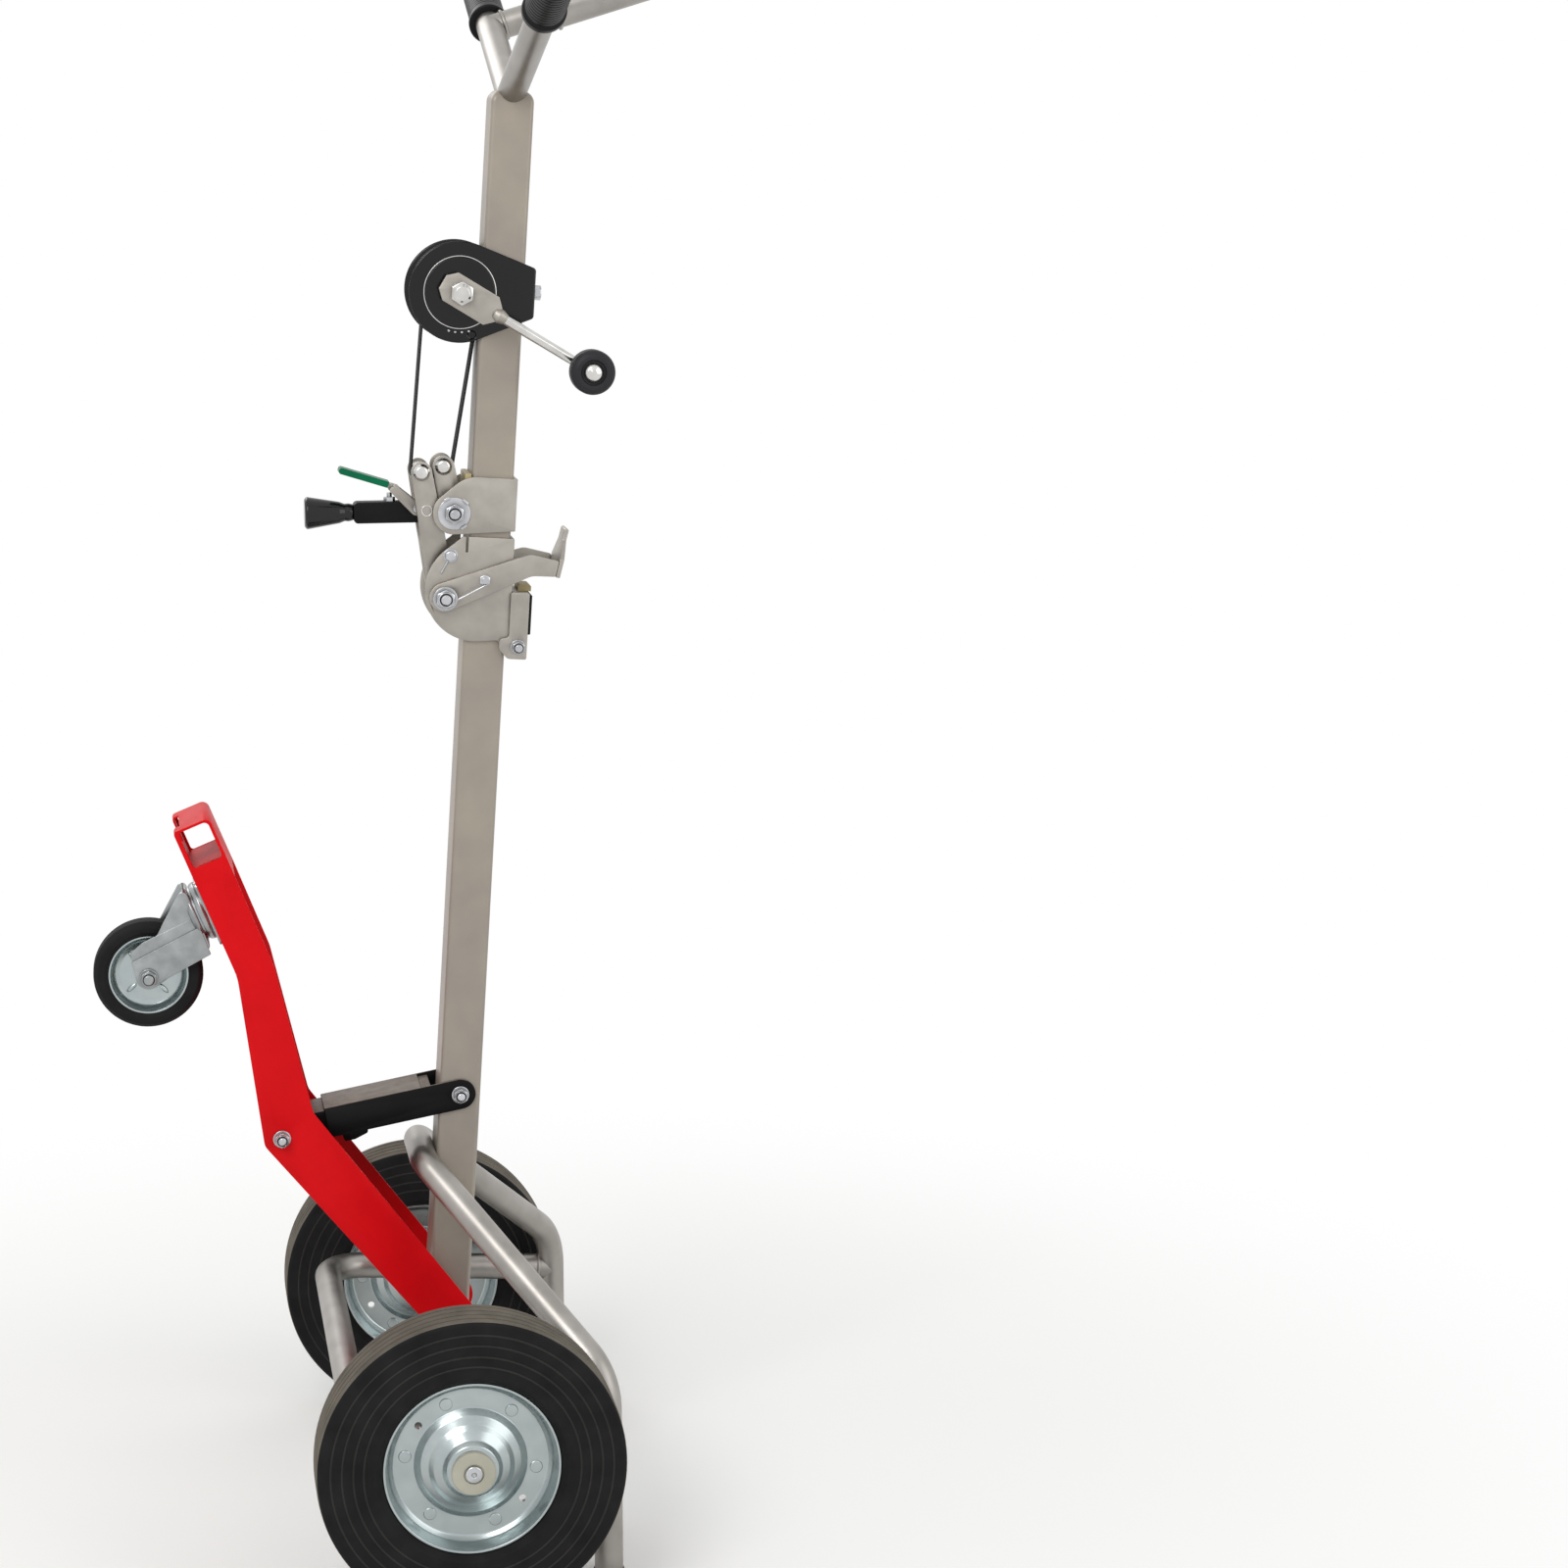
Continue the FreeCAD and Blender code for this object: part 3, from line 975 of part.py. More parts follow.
claw_inner = bracket_outer + size["claw_gap"]
claw_outer = claw_inner + size["claw_sheet"]
claw_turn = math.radians(22.8)
claw_along = Vector(math.cos(claw_turn), math.sin(claw_turn), 0)
claw_up = Vector(-claw_along.y, claw_along.x, 0)
claw_root = Vector(claw_x, base_z, 0)
claw_end = size["claw_end_radius"]
claw_unit = size["claw_length"] / 107.3
low_corner = claw_root - claw_along * claw_end - claw_up * claw_end
high_corner = claw_root - claw_along * claw_end + claw_up * claw_end


def from_claw(across, up, radius=0):
    # The claw is drawn forward from its bolt on a grid of 107.3 units to its front end.
    return (claw_x + across * claw_unit, base_z + up * claw_unit, radius * claw_unit)


claw_edges = polygon_edges([(low_corner.x, low_corner.y, claw_end - 0.2), from_claw(63.7, 15, 10),
                            from_claw(81.8, 24.2, 20), from_claw(104.5, 24.4, 2),
                            from_claw(107.3, 39.4, 2),
                            from_claw(79.8, 44.4, 15), from_claw(60.5, 37.9, 20),
                            (high_corner.x, high_corner.y, claw_end - 0.2)])
claw_arm = plate("claw_arm", claw_edges, claw_inner, "claw_sheet", [(claw_x, base_z, bolt_hole)])
keep("claw_arms", pair("claw_arm_pair", claw_arm))

claw_jaw = new_body("claw_jaw_body")
jaw_plate = polygon_edges([from_claw(104.7, 24), from_claw(108.7, 23.3, 0.8), from_claw(117.4, 68.4, 1.8),
                           from_claw(113.4, 69.2, 1.8)])
jaw_span = f"{bracket_width} + 2 * Sizes.claw_gap + 2 * Sizes.claw_sheet"
add_pad(claw_jaw, draw(new_sketch(claw_jaw, "XZ_Plane"), jaw_plate), jaw_span)
# The jaw narrows upward to a tongue that hooks behind the rim
tongue = size["tongue_width"] / 2
tongue_top = from_claw(0, 72)[1]
tongue_root = from_claw(0, 58)[1]
shoulder_low = from_claw(0, 40)[1]
jaw_corners = new_sketch(claw_jaw, "YZ_Plane")
for side in (-1, 1):
    draw(jaw_corners, polygon_edges([(side * tongue, tongue_top, 0), (side * tongue, tongue_root, 0),
                                     (side * (claw_outer + 1), shoulder_low, 0),
                                     (side * (claw_outer + 1), tongue_top, 0)]))
add_pocket(claw_jaw, jaw_corners, "8 * Sizes.claw_length")
keep("claw_jaw", claw_jaw)

spring_pin_x, spring_pin_z = from_claw(37, 18.6)[:2]
spring_pin = cylinder("spring_pin", "3", "9.5", Vector(spring_pin_x, -claw_outer, spring_pin_z),
                      Vector(0, -1, 0))
keep("claw_spring_pins", pair("spring_pins", spring_pin))


def biarc(start, start_heading, finish, finish_heading):
    # Two arcs that leave start along its heading and reach finish along its own.
    chord = finish - start
    spread = 2 * (1 - start_heading.dot(finish_heading))
    along = chord.dot(start_heading + finish_heading)
    reach_out = (-along + math.sqrt(along ** 2 + spread * chord.dot(chord))) / spread
    joint = (start + finish + (start_heading - finish_heading) * reach_out) / 2
    edges = []
    for first, heading, last in ((start, start_heading, joint), (finish, finish_heading * -1, joint)):
        run = last - first
        straight = run / run.Length
        bulge = heading - straight * heading.dot(straight)
        turn = heading.getAngle(run)
        middle = first + run / 2 + bulge / bulge.Length * (run.Length / 2 * math.tan(turn / 2))
        ends = (first, middle, last) if first == start else (last, middle, first)
        edges.append(Part.Arc(*ends).toShape())
    return edges


def torsion_spring():
    # Turns round the claw's bolt, from the arm outward, then a straight leg to the spring pin.
    wire = size["spring_wire"]
    coil = size["pivot_bolt"] / 2 + 0.6 + wire / 2
    climb = wire + 0.55
    pin_run = Vector(spring_pin_x - claw_x, 0, spring_pin_z - 3 - wire / 2 - 0.8 - base_z)
    leg_turn = math.atan2(pin_run.z, pin_run.x) + math.asin(coil / pin_run.Length)
    quarter_count = int(4 * size["spring_turns"])
    first_y = claw_outer + wire / 2 + 0.2

    def station(quarter):
        # The coil turns so that it leaves towards the pin at its last quarter.
        turn = leg_turn - math.pi / 2 + (quarter - quarter_count) * math.pi / 2
        point = Vector(claw_x + coil * math.cos(turn), -first_y - climb * quarter / 4,
                       base_z + coil * math.sin(turn))
        rise = -climb / (2 * math.pi) if 0 < quarter < quarter_count else 0
        heading = Vector(-coil * math.sin(turn), rise, coil * math.cos(turn))
        return point, heading / heading.Length

    edges = []
    for quarter in range(quarter_count):
        edges += biarc(*station(quarter), *station(quarter + 1))
    point, heading = station(quarter_count)
    leg_length = math.sqrt(pin_run.Length ** 2 - coil ** 2) + 3
    edges.append(Part.LineSegment(point, point + heading * leg_length).toShape())
    print("claw spring: turns", size["spring_turns"], "least gap between turns", round(climb - wire, 2))
    return swept(Part.Wire(edges), wire / 2)


claw_spring = shaped("claw_spring", torsion_spring())
keep("claw_springs", pair("claw_spring_pair", claw_spring))

# Clamp levers: joggled plates inside the brackets, up from the claw's bolt to the outer roller

lever_top_x, lever_top_z = size["lever_top_x"], base_z + size["lever_top_rise"]
lever_sheet = size["lever_sheet"]
lever_inner = size["lever_inner"]
lever_blank = new_body("lever_blank")
lever_sketch = draw(new_sketch(lever_blank, "XZ_Plane", lever_inner - 2),
                    belt_edges([(claw_x, base_z, size["lever_foot"]),
                                (lever_top_x, lever_top_z, size["lever_tip"])]))
draw_circle(lever_sketch, claw_x, base_z, bolt_hole)
draw_circle(lever_sketch, lever_top_x, lever_top_z, "Sizes.pin_diameter + 2 * Sizes.running_fit")
add_pad(lever_blank, lever_sketch, "4 * Sizes.lever_sheet", symmetric=False)
joggle = new_body("lever_joggle")
joggle_low = base_z + size["joggle_rise"]
joggle_high = joggle_low + size["joggle_run"]
lever_margin = 4 * size["lever_tip"]
lever_shift = lever_inner + size["lever_joggle"]
joggle_corners = [(-lever_inner, base_z - lever_margin, 0), (-lever_inner, joggle_low, 0),
                  (-lever_shift, joggle_high, 0),
                  (-lever_shift, lever_top_z + lever_margin, 0),
                  (-lever_shift - lever_sheet, lever_top_z + lever_margin, 0),
                  (-lever_shift - lever_sheet, joggle_high, 0),
                  (-lever_inner - lever_sheet, joggle_low, 0),
                  (-lever_inner - lever_sheet, base_z - lever_margin, 0)]
add_pad(joggle, draw(new_sketch(joggle, "YZ_Plane"), polygon_edges(joggle_corners)),
        "10 * Sizes.mast_width")
lever = doc.addObject("Part::Common", "lever_plate")
lever.Base = lever_blank
lever.Tool = joggle
keep("clamp_levers", pair("lever_pair", lever))


def roller(name, x, z, plate_inner, plate_outer):
    # A roller on a pin whose domed heads stand outside the two plates.
    body = new_body(name)
    pin = size["pin_diameter"] / 2
    radius = size["roller_diameter"] / 2
    half = [(0, plate_outer + 4.7, 0), (5.5, plate_outer + 3.6, 3),
            (8, plate_outer + size["free_gap"], 0),
            (pin, plate_outer + size["free_gap"], 0), (pin, plate_inner - size["free_gap"], 0),
            (radius, plate_inner - size["free_gap"], 0.8)]
    add_revolution(body, both_sides(half))
    body.Placement = Placement(Vector(x, 0, z), Rotation(Vector(1, 0, 0), 90))
    return grouped(name + "_piece", [body])


keep("clamp_lever_roller", roller("lever_roller", lever_top_x, lever_top_z, lever_shift,
                                  lever_shift + lever_sheet))

# Trip handle: links up to the inner roller, a bar back to the grip, and its adjusting screw

link_x, link_z = size["link_pin_x"], base_z + size["link_pin_rise"]
link_inner = 13.5
link_edges = belt_edges([(trip_x, trip_z, 11), (link_x, link_z, 10.5)])
link_holes = [(trip_x, trip_z, bolt_hole), (link_x, link_z, "Sizes.pin_diameter + 2 * Sizes.running_fit")]
link = plate("trip_link", link_edges, link_inner, "release_sheet", link_holes)
keep("trip_links", pair("trip_link_pair", link))
keep("trip_link_roller", roller("link_roller", link_x, link_z, link_inner,
                                link_inner + size["release_sheet"]))

# The bar lies level, so its frame undoes the mast's lean; x runs back from the pivot's other side
trip_frame = Placement(Vector(trip_x, 0, trip_z), Rotation(Vector(0, 1, 0), -size["mast_lean"]))
bar_half = size["bar_height"] / 2
bar = new_body("trip_bar_body")
bar_end = -size["bar_length"]
bar_sketch = draw(new_sketch(bar, "XZ_Plane"), polygon_edges([(bar_end, -bar_half, 4), (9, -bar_half, 5),
                                                              (9, bar_half, 5), (bar_end, bar_half, 4)]))
draw_circle(bar_sketch, 0, 0, bolt_hole)
release_x, release_z = -34, 3
release_hole = "Sizes.release_pin + 2 * Sizes.running_fit"
draw_circle(bar_sketch, release_x, release_z, release_hole)
add_pad(bar, bar_sketch, "Sizes.bar_width")
keep("trip_bar", bar, trip_frame)

trip_grip = new_body("trip_grip_body")
grip_tip = size["trip_grip_length"]
grip_end = size["trip_grip_diameter"] / 2
add_revolution(trip_grip, [(0, 0, 0), (8.5, 0, 2), (10, 5, 4), (grip_end, grip_tip - 2, 2),
                           (grip_end - 3, grip_tip, 1.5), (0, grip_tip, 0)])
keep("trip_grip", trip_grip, trip_frame.multiply(Placement(Vector(bar_end - 0.1, 0, 0),
                                                           Rotation(Vector(0, 0, 1), Vector(-1, 0, 0)))))

screw_x = -58.7
screw = cylinder("screw", "2.5", "8", Vector(screw_x, 0, bar_half), Vector(0, 0, 1))
screw_nut = hexagon("screw_nut", "5.5", "4", Vector(screw_x, 0, bar_half), Vector(0, 0, 1))
release_half = "Sizes.bar_width / 2 + 2 * Sizes.free_gap + Sizes.release_sheet + 1"
release_pin = cylinder("release_pin", "Sizes.release_pin / 2", f"2 * ({release_half})",
                       Vector(release_x, 0, release_z))
release_pin.setExpression("Placement.Base.y", f"-({release_half})")
keep("trip_fasteners", grouped("trip_fastener_group",
                               [fused("adjuster", [screw, screw_nut]), release_pin]), trip_frame)

release_gap = size["bar_width"] / 2 + 2 * size["free_gap"]
cheek_shape = belt_edges([(release_x, release_z, 6), (-52, 21.5, 3), (-56, 21.5, 3)])
release_cheek = plate("release_cheek", cheek_shape, release_gap, "release_sheet",
                      [(release_x, release_z, release_hole)])
release_other = mirrored(release_cheek)
tang_root, tang_tip = Vector(-50, 0, 23.2), Vector(-106, 0, 40.9)
tang_along = (tang_tip - tang_root) / (tang_tip - tang_root).Length
tang_up = Vector(-tang_along.z, 0, tang_along.x) * -1


def tang(name, start, finish, half_thickness, width):
    body = new_body(name)
    corners = [start - tang_up * half_thickness, start + tang_up * half_thickness,
               finish + tang_up * half_thickness, finish - tang_up * half_thickness]
    rounding = half_thickness * 0.8
    flat_corners = [(corner.x, corner.z, 0) for corner in corners[:2]]
    flat_corners += [(corner.x, corner.z, rounding) for corner in corners[2:]]
    add_pad(body, draw(new_sketch(body, "XZ_Plane"), polygon_edges(flat_corners)), width)
    return body


half_sheet = size["release_sheet"] / 2
release_span = "Sizes.bar_width + 4 * Sizes.free_gap + 2 * Sizes.release_sheet"
bridge = tang("release_bridge", tang_root, tang_root + tang_along * 6, half_sheet, release_span)
blade = tang("release_blade", tang_root + tang_along * 4, tang_tip - tang_along * 6, half_sheet,
             "Sizes.sleeve_width - 8")
keep("release_lever", fused("release_lever_piece", [release_cheek, release_other, bridge, blade]),
     trip_frame)
sleeve_body = tang("sleeve_blank", tang_root + tang_along * 10.5, tang_tip, size["sleeve_thickness"] / 2,
                   "Sizes.sleeve_width")
blade_room = tang("blade_room", tang_root + tang_along * 4, tang_tip - tang_along * 5.9, half_sheet + 0.1,
                  "Sizes.sleeve_width - 7.8")
keep("release_sleeve", cut("release_sleeve_piece", sleeve_body, blade_room), trip_frame)

# Lower jaw: a folded box on its bolt in front of the lower bracket, with a rubber pad and a rim rest

jaw_sheet = size["jaw_sheet"]
jaw_back = bracket_face - 1
jaw_front = jaw_back + size["jaw_depth"]
jaw_top = base_z + size["jaw_rise"]
jaw_low = jaw_z - size["jaw_foot"]
jaw_room = f"{bracket_width} + 2 * Sizes.jaw_gap"
jaw_width = f"{jaw_room} + 2 * Sizes.jaw_sheet"
lower_jaw = new_body("lower_jaw_body")
jaw_edges = polygon_edges([(jaw_back, jaw_top, 2), (jaw_back, jaw_z + 9, 3), (jaw_back - 9, jaw_z + 7, 4),
                           (jaw_back - 9, jaw_z - 3, 6), (jaw_back, jaw_low, 6), (jaw_front, jaw_low, 2),
                           (jaw_front, jaw_top, 2)])
add_pad(lower_jaw, draw(new_sketch(lower_jaw, "XZ_Plane"), jaw_edges), jaw_width)
# Inside, the box is open towards the bracket and below its front wall
wall_low = jaw_z + 10
behind = jaw_back - 20
jaw_inside = [(behind, jaw_top + 5, 0), (bracket_face + 1, jaw_top + 5, 0),
              (bracket_face + 1, jaw_top - jaw_sheet, 0), (jaw_front - jaw_sheet, jaw_top - jaw_sheet, 0),
              (jaw_front - jaw_sheet, wall_low, 0), (jaw_front + 5, wall_low, 0),
              (jaw_front + 5, jaw_low - 5, 0), (behind, jaw_low - 5, 0)]
add_pocket(lower_jaw, draw(new_sketch(lower_jaw, "XZ_Plane"), polygon_edges(jaw_inside)), jaw_room)
jaw_hole = draw_circle(new_sketch(lower_jaw, "XZ_Plane"), jaw_x, jaw_z,
                       "Sizes.jaw_bolt + 2 * Sizes.running_fit")
add_pocket(lower_jaw, jaw_hole, f"2 * ({jaw_width})")
keep("lower_jaw", lower_jaw)

jaw_pad = new_body("jaw_pad_body")
pad_back = jaw_front + 0.1
pad_front = pad_back + size["jaw_pad"]
pad_edges = polygon_edges([(pad_back, wall_low + 2, 0), (pad_front, wall_low + 2, 1),
                           (pad_front, jaw_top - 2, 1),
                           (pad_back, jaw_top - 2, 0)])
add_pad(jaw_pad, draw(new_sketch(jaw_pad, "XZ_Plane"), pad_edges), f"{jaw_width} - 4")
keep("lower_jaw_pad", jaw_pad)
rest = new_body("rim_rest_body")
rest_low, rest_high = jaw_top + 0.1, jaw_top + size["rest_height"]
rest_edges = polygon_edges([(jaw_front - 10, rest_low, 0), (pad_front, rest_low, 0),
                            (pad_front, rest_high, 2),
                            (jaw_front - 10, rest_high, 3)])
add_pad(rest, draw(new_sketch(rest, "XZ_Plane"), rest_edges), "Sizes.rest_width")
keep("rim_rest", rest)

bracket_half = "Sizes.mast_width / 2 + Sizes.slide_gap + Sizes.bracket_sheet"
claw_bolt_half = f"{bracket_half} + Sizes.claw_gap + Sizes.claw_sheet + 8.8"
jaw_bolt_half = f"{bracket_half} + Sizes.jaw_gap + Sizes.jaw_sheet + Sizes.free_gap"
claw_bolt = through_bolt("claw_bolt", claw_x, base_z, "Sizes.pivot_bolt", claw_bolt_half, bolt_hexagon,
                         "8",
                         "1.15 * Sizes.pivot_bolt", "1.8")
trip_bolt = through_bolt("trip_bolt", trip_x, trip_z, "Sizes.pivot_bolt", bracket_half, bolt_hexagon, "8",
                         "1.3 * Sizes.pivot_bolt", "1.8")
jaw_bolt = through_bolt("jaw_fastener", jaw_x, jaw_z, "Sizes.jaw_bolt", jaw_bolt_half,
                        "0.8 * Sizes.jaw_bolt",
                        "5.5", "0.9 * Sizes.jaw_bolt", "1.5")
keep("carriage_bolts", grouped("carriage_fasteners", [claw_bolt, trip_bolt, jaw_bolt]))

# Lift strap: down from the roll, under the outer and inner rollers and up to the anchor pin

strap_ride = size["roller_diameter"] / 2 + 0.2
outer_roller = Vector(lever_top_x, lever_top_z, 0)
inner_roller = Vector(link_x, link_z, 0)
anchor_point = Vector(anchor_x, anchor_z, 0)


def right_tangent(start, start_radius, finish, finish_radius):
    # The unit normal, to the right of the run, of a line that touches both circles.
    run = finish - start
    along = run / run.Length
    lean_in = (start_radius - finish_radius) / run.Length
    return along * lean_in + Vector(along.y, -along.x, 0) * math.sqrt(1 - lean_in ** 2)


def strap_side(offset):
    # One face of the strap; offset is its distance from the rollers' running circle.
    ride = strap_ride + offset
    pin = size["anchor_pin"] / 2 + 0.2
    roll_circle = roll_radius - strap + offset
    roll_centre = Vector(winch_x, winch_z, 0)
    first = right_tangent(roll_centre, roll_circle, outer_roller, ride)
    second = right_tangent(outer_roller, ride, inner_roller, ride)
    third = right_tangent(inner_roller, ride, anchor_point, pin + offset)
    points = [roll_centre + first * roll_circle, outer_roller + first * ride,
              outer_roller + second * ride,
              inner_roller + second * ride, inner_roller + third * ride,
              anchor_point + third * (pin + offset)]
    points[0] += (points[1] - points[0]).normalize() * 2
    middles = [(outer_roller, first, second), (inner_roller, second, third)]
    lifted = [Vector(point.x, strap_edge, point.y) for point in points]
    arcs = []
    for centre, start, finish in middles:
        half = (start + finish).normalize() * ride + centre
        arcs.append(Vector(half.x, strap_edge, half.y))
    return lifted, [Part.LineSegment(lifted[0], lifted[1]).toShape(),
                    Part.Arc(lifted[1], arcs[0], lifted[2]).toShape(),
                    Part.LineSegment(lifted[2], lifted[3]).toShape(),
                    Part.Arc(lifted[3], arcs[1], lifted[4]).toShape(),
                    Part.LineSegment(lifted[4], lifted[5]).toShape()]


inner_points, inner_face = strap_side(0)
outer_points, outer_face = strap_side(strap)
ends = [Part.LineSegment(inner_points[end], outer_points[end]).toShape() for end in (0, -1)]
strap_face = Part.Face(Part.Wire(Part.__sortEdges__(inner_face + outer_face + ends)))
strap_band = strap_face.extrude(Vector(0, size["strap_width"], 0))
keep("lift_strap", shaped("strap_band", strap_band))

# Every piece is tested before any file is written

doc.recompute()
for item in doc.Objects:
    if "Invalid" in item.State or "Error" in item.State:
        raise RuntimeError(f"{item.Name} ({item.Label}) did not build: {item.State}")
for label, piece in nodes.items():
    if piece.Shape.isNull() or not piece.Shape.isValid():
        raise RuntimeError(f"{label} has no valid shape")
os.makedirs("parts", exist_ok=True)
for label, piece in nodes.items():
    piece.Shape.exportStep(f"parts/{label}.step")
print("nodes", len(nodes), "solids", sum(len(piece.Shape.Solids) for piece in nodes.values()))
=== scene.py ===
import json
import math
import bmesh
import bpy
from mathutils import Matrix, Vector


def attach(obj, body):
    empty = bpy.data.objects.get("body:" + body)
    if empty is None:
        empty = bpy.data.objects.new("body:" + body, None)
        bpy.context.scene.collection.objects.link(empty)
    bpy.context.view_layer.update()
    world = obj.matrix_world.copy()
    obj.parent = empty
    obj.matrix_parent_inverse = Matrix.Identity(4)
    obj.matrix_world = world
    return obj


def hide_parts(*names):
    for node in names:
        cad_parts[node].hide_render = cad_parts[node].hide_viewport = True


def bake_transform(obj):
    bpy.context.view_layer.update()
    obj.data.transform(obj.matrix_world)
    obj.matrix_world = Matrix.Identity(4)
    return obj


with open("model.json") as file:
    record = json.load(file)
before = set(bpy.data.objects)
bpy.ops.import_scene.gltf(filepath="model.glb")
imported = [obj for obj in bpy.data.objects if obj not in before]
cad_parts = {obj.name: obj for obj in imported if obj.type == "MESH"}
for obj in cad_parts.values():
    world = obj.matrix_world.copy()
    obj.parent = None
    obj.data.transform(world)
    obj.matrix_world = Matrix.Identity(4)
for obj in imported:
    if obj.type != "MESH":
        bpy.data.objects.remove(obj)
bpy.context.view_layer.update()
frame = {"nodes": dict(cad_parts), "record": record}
bodyOf = {node: body for body, members in frame["record"]["behaviour"]["bodies"].items() for node in members}
print("frame loaded", len(frame["nodes"]), "nodes")

# The trolley is drawn in the mast's own axes in millimetres, x forward, y to the left and z up from the
# axle, and leans forward about the axle as the solids do.
trolley = {"lean": 3.9, "axleX": 30.3, "wheelRadius": 142.5}
lean = math.radians(trolley["lean"])
leanFrame = (Matrix.Translation(Vector((trolley["axleX"], 0, trolley["wheelRadius"])) / 1000)
             @ Matrix.Rotation(lean, 4, "Y") @ Matrix.Scale(0.001, 4))


def aimed(x, y, z, direction):
    # Millimetres in the mast's axes to metres in the world, with z turned along the direction.
    turn = Vector(direction).to_track_quat("Z", "Y").to_matrix().to_4x4()
    return leanFrame @ Matrix.Translation((x, y, z)) @ turn


def atSide(x, z, side, out=0):
    # A place on the right (-1) or the left (1) of the trolley's middle, with z turned outward.
    return aimed(x, side * out, z, (0, side, 0))


# Materials

def linear(hexColour):
    channels = [int(hexColour[i:i + 2], 16) / 255 for i in (1, 3, 5)]
    return [c / 12.92 if c <= 0.04045 else ((c + 0.055) / 1.055) ** 2.4 for c in channels] + [1.0]


def perMetre(millimetres):
    # Pattern repeats in a metre for a feature of this real size.
    return 1000 / millimetres


def addNode(tree, kind, links=(), settings=None):
    # Settings are the node's own options and the values of its open sockets.
    node = tree.nodes.new(kind)
    for key, value in (settings or {}).items():
        if key in node.inputs:
            node.inputs[key].default_value = value
        else:
            setattr(node, key, value)
    for output, socket in links:
        tree.links.new(output, node.inputs[socket])
    return node


def newMaterial(name, roughness, metallic, specular=0.5):
    # A material with its node tree, its shader and the coordinates for its patterns.
    material = bpy.data.materials.new(name)
    material.use_nodes = True
    tree = material.node_tree
    shader = tree.nodes["Principled BSDF"]
    for socket, value in (("Roughness", roughness), ("Metallic", metallic), ("Specular IOR Level", specular)):
        shader.inputs[socket].default_value = value
    return material, tree, shader, addNode(tree, "ShaderNodeTexCoord")


def mottled(tree, place, patch, low, high):
    # Two shades that change over patches of a size in millimetres; the noise keeps mostly to its middle.
    noise = addNode(tree, "ShaderNodeTexNoise", [(place.outputs["Object"], "Vector")],
                    {"Scale": perMetre(patch), "Detail": 3.0})
    ramp = addNode(tree, "ShaderNodeValToRGB", [(noise.outputs["Fac"], "Fac")])
    for stop, position, shade in zip(ramp.color_ramp.elements, (0.3, 0.7), (low, high)):
        stop.position = position
        stop.color = linear(shade)
    return ramp.outputs["Color"]


def grained(tree, shader, place, grain, depth):
    # Fine unevenness of a size and depth in millimetres.
    noise = addNode(tree, "ShaderNodeTexNoise", [(place.outputs["Object"], "Vector")],
                    {"Scale": perMetre(grain), "Detail": 2.0})
    bump = addNode(tree, "ShaderNodeBump", [(noise.outputs["Fac"], "Height")],
                   {"Distance": depth / 1000, "Strength": 1.0})
    tree.links.new(bump.outputs["Normal"], shader.inputs["Normal"])


coat = {"patch": 55, "peel": 1.4, "peelDepth": 0.06}


def coatedSteel(name, low, high, roughness, metallic, specular):
    # Sprayed and baked coat: a slight change of shade over the sheet, and an orange peel of about a
    # millimetre and a half that breaks up the highlights.
    material, tree, shader, place = newMaterial(name, roughness, metallic, specular)
    tree.links.new(mottled(tree, place, coat["patch"], low, high), shader.inputs["Base Color"])
    grained(tree, shader, place, coat["peel"], coat["peelDepth"])
    return material


dustAndSheen = {"patch": 9, "steepest": 0.7, "level": 0.98, "dustSheenCover": 0.7}


def dustAndSheenCoat(name, low, high, dustSheenLow, dustSheenHigh, roughness, specular):
    # The same coat, paler on the faces that look up: partly dust lying there, partly a painted sheen of light.
    material, tree, shader, place = newMaterial(name, roughness, 0.0, specular)
    facing = addNode(tree, "ShaderNodeSeparateXYZ", [(place.outputs["Normal"], "Vector")])
    dustSheenCover = addNode(tree, "ShaderNodeMapRange", [(facing.outputs["Z"], "Value")],
                    {"interpolation_type": "SMOOTHSTEP", "From Min": dustAndSheen["steepest"], "From Max": dustAndSheen["level"],
                     "To Max": dustAndSheen["dustSheenCover"]})
    bare = mottled(tree, place, coat["patch"], low, high)
    dustedAndSheened = mottled(tree, place, dustAndSheen["patch"], dustSheenLow, dustSheenHigh)
    # A colour mix has its factor at socket 0, its two colours at 6 and 7 and its result at output 2.
    mix = addNode(tree, "ShaderNodeMix", [(dustSheenCover.outputs["Result"], 0), (bare, 6), (dustedAndSheened, 7)],
                  {"data_type": "RGBA"})
    tree.links.new(mix.outputs[2], shader.inputs["Base Color"])
    grained(tree, shader, place, coat["peel"], coat["peelDepth"])
    return material


plating = {"corner": 5, "deep": 0.3, "open": 0.95, "grain": 2.0, "grainDepth": 0.008}


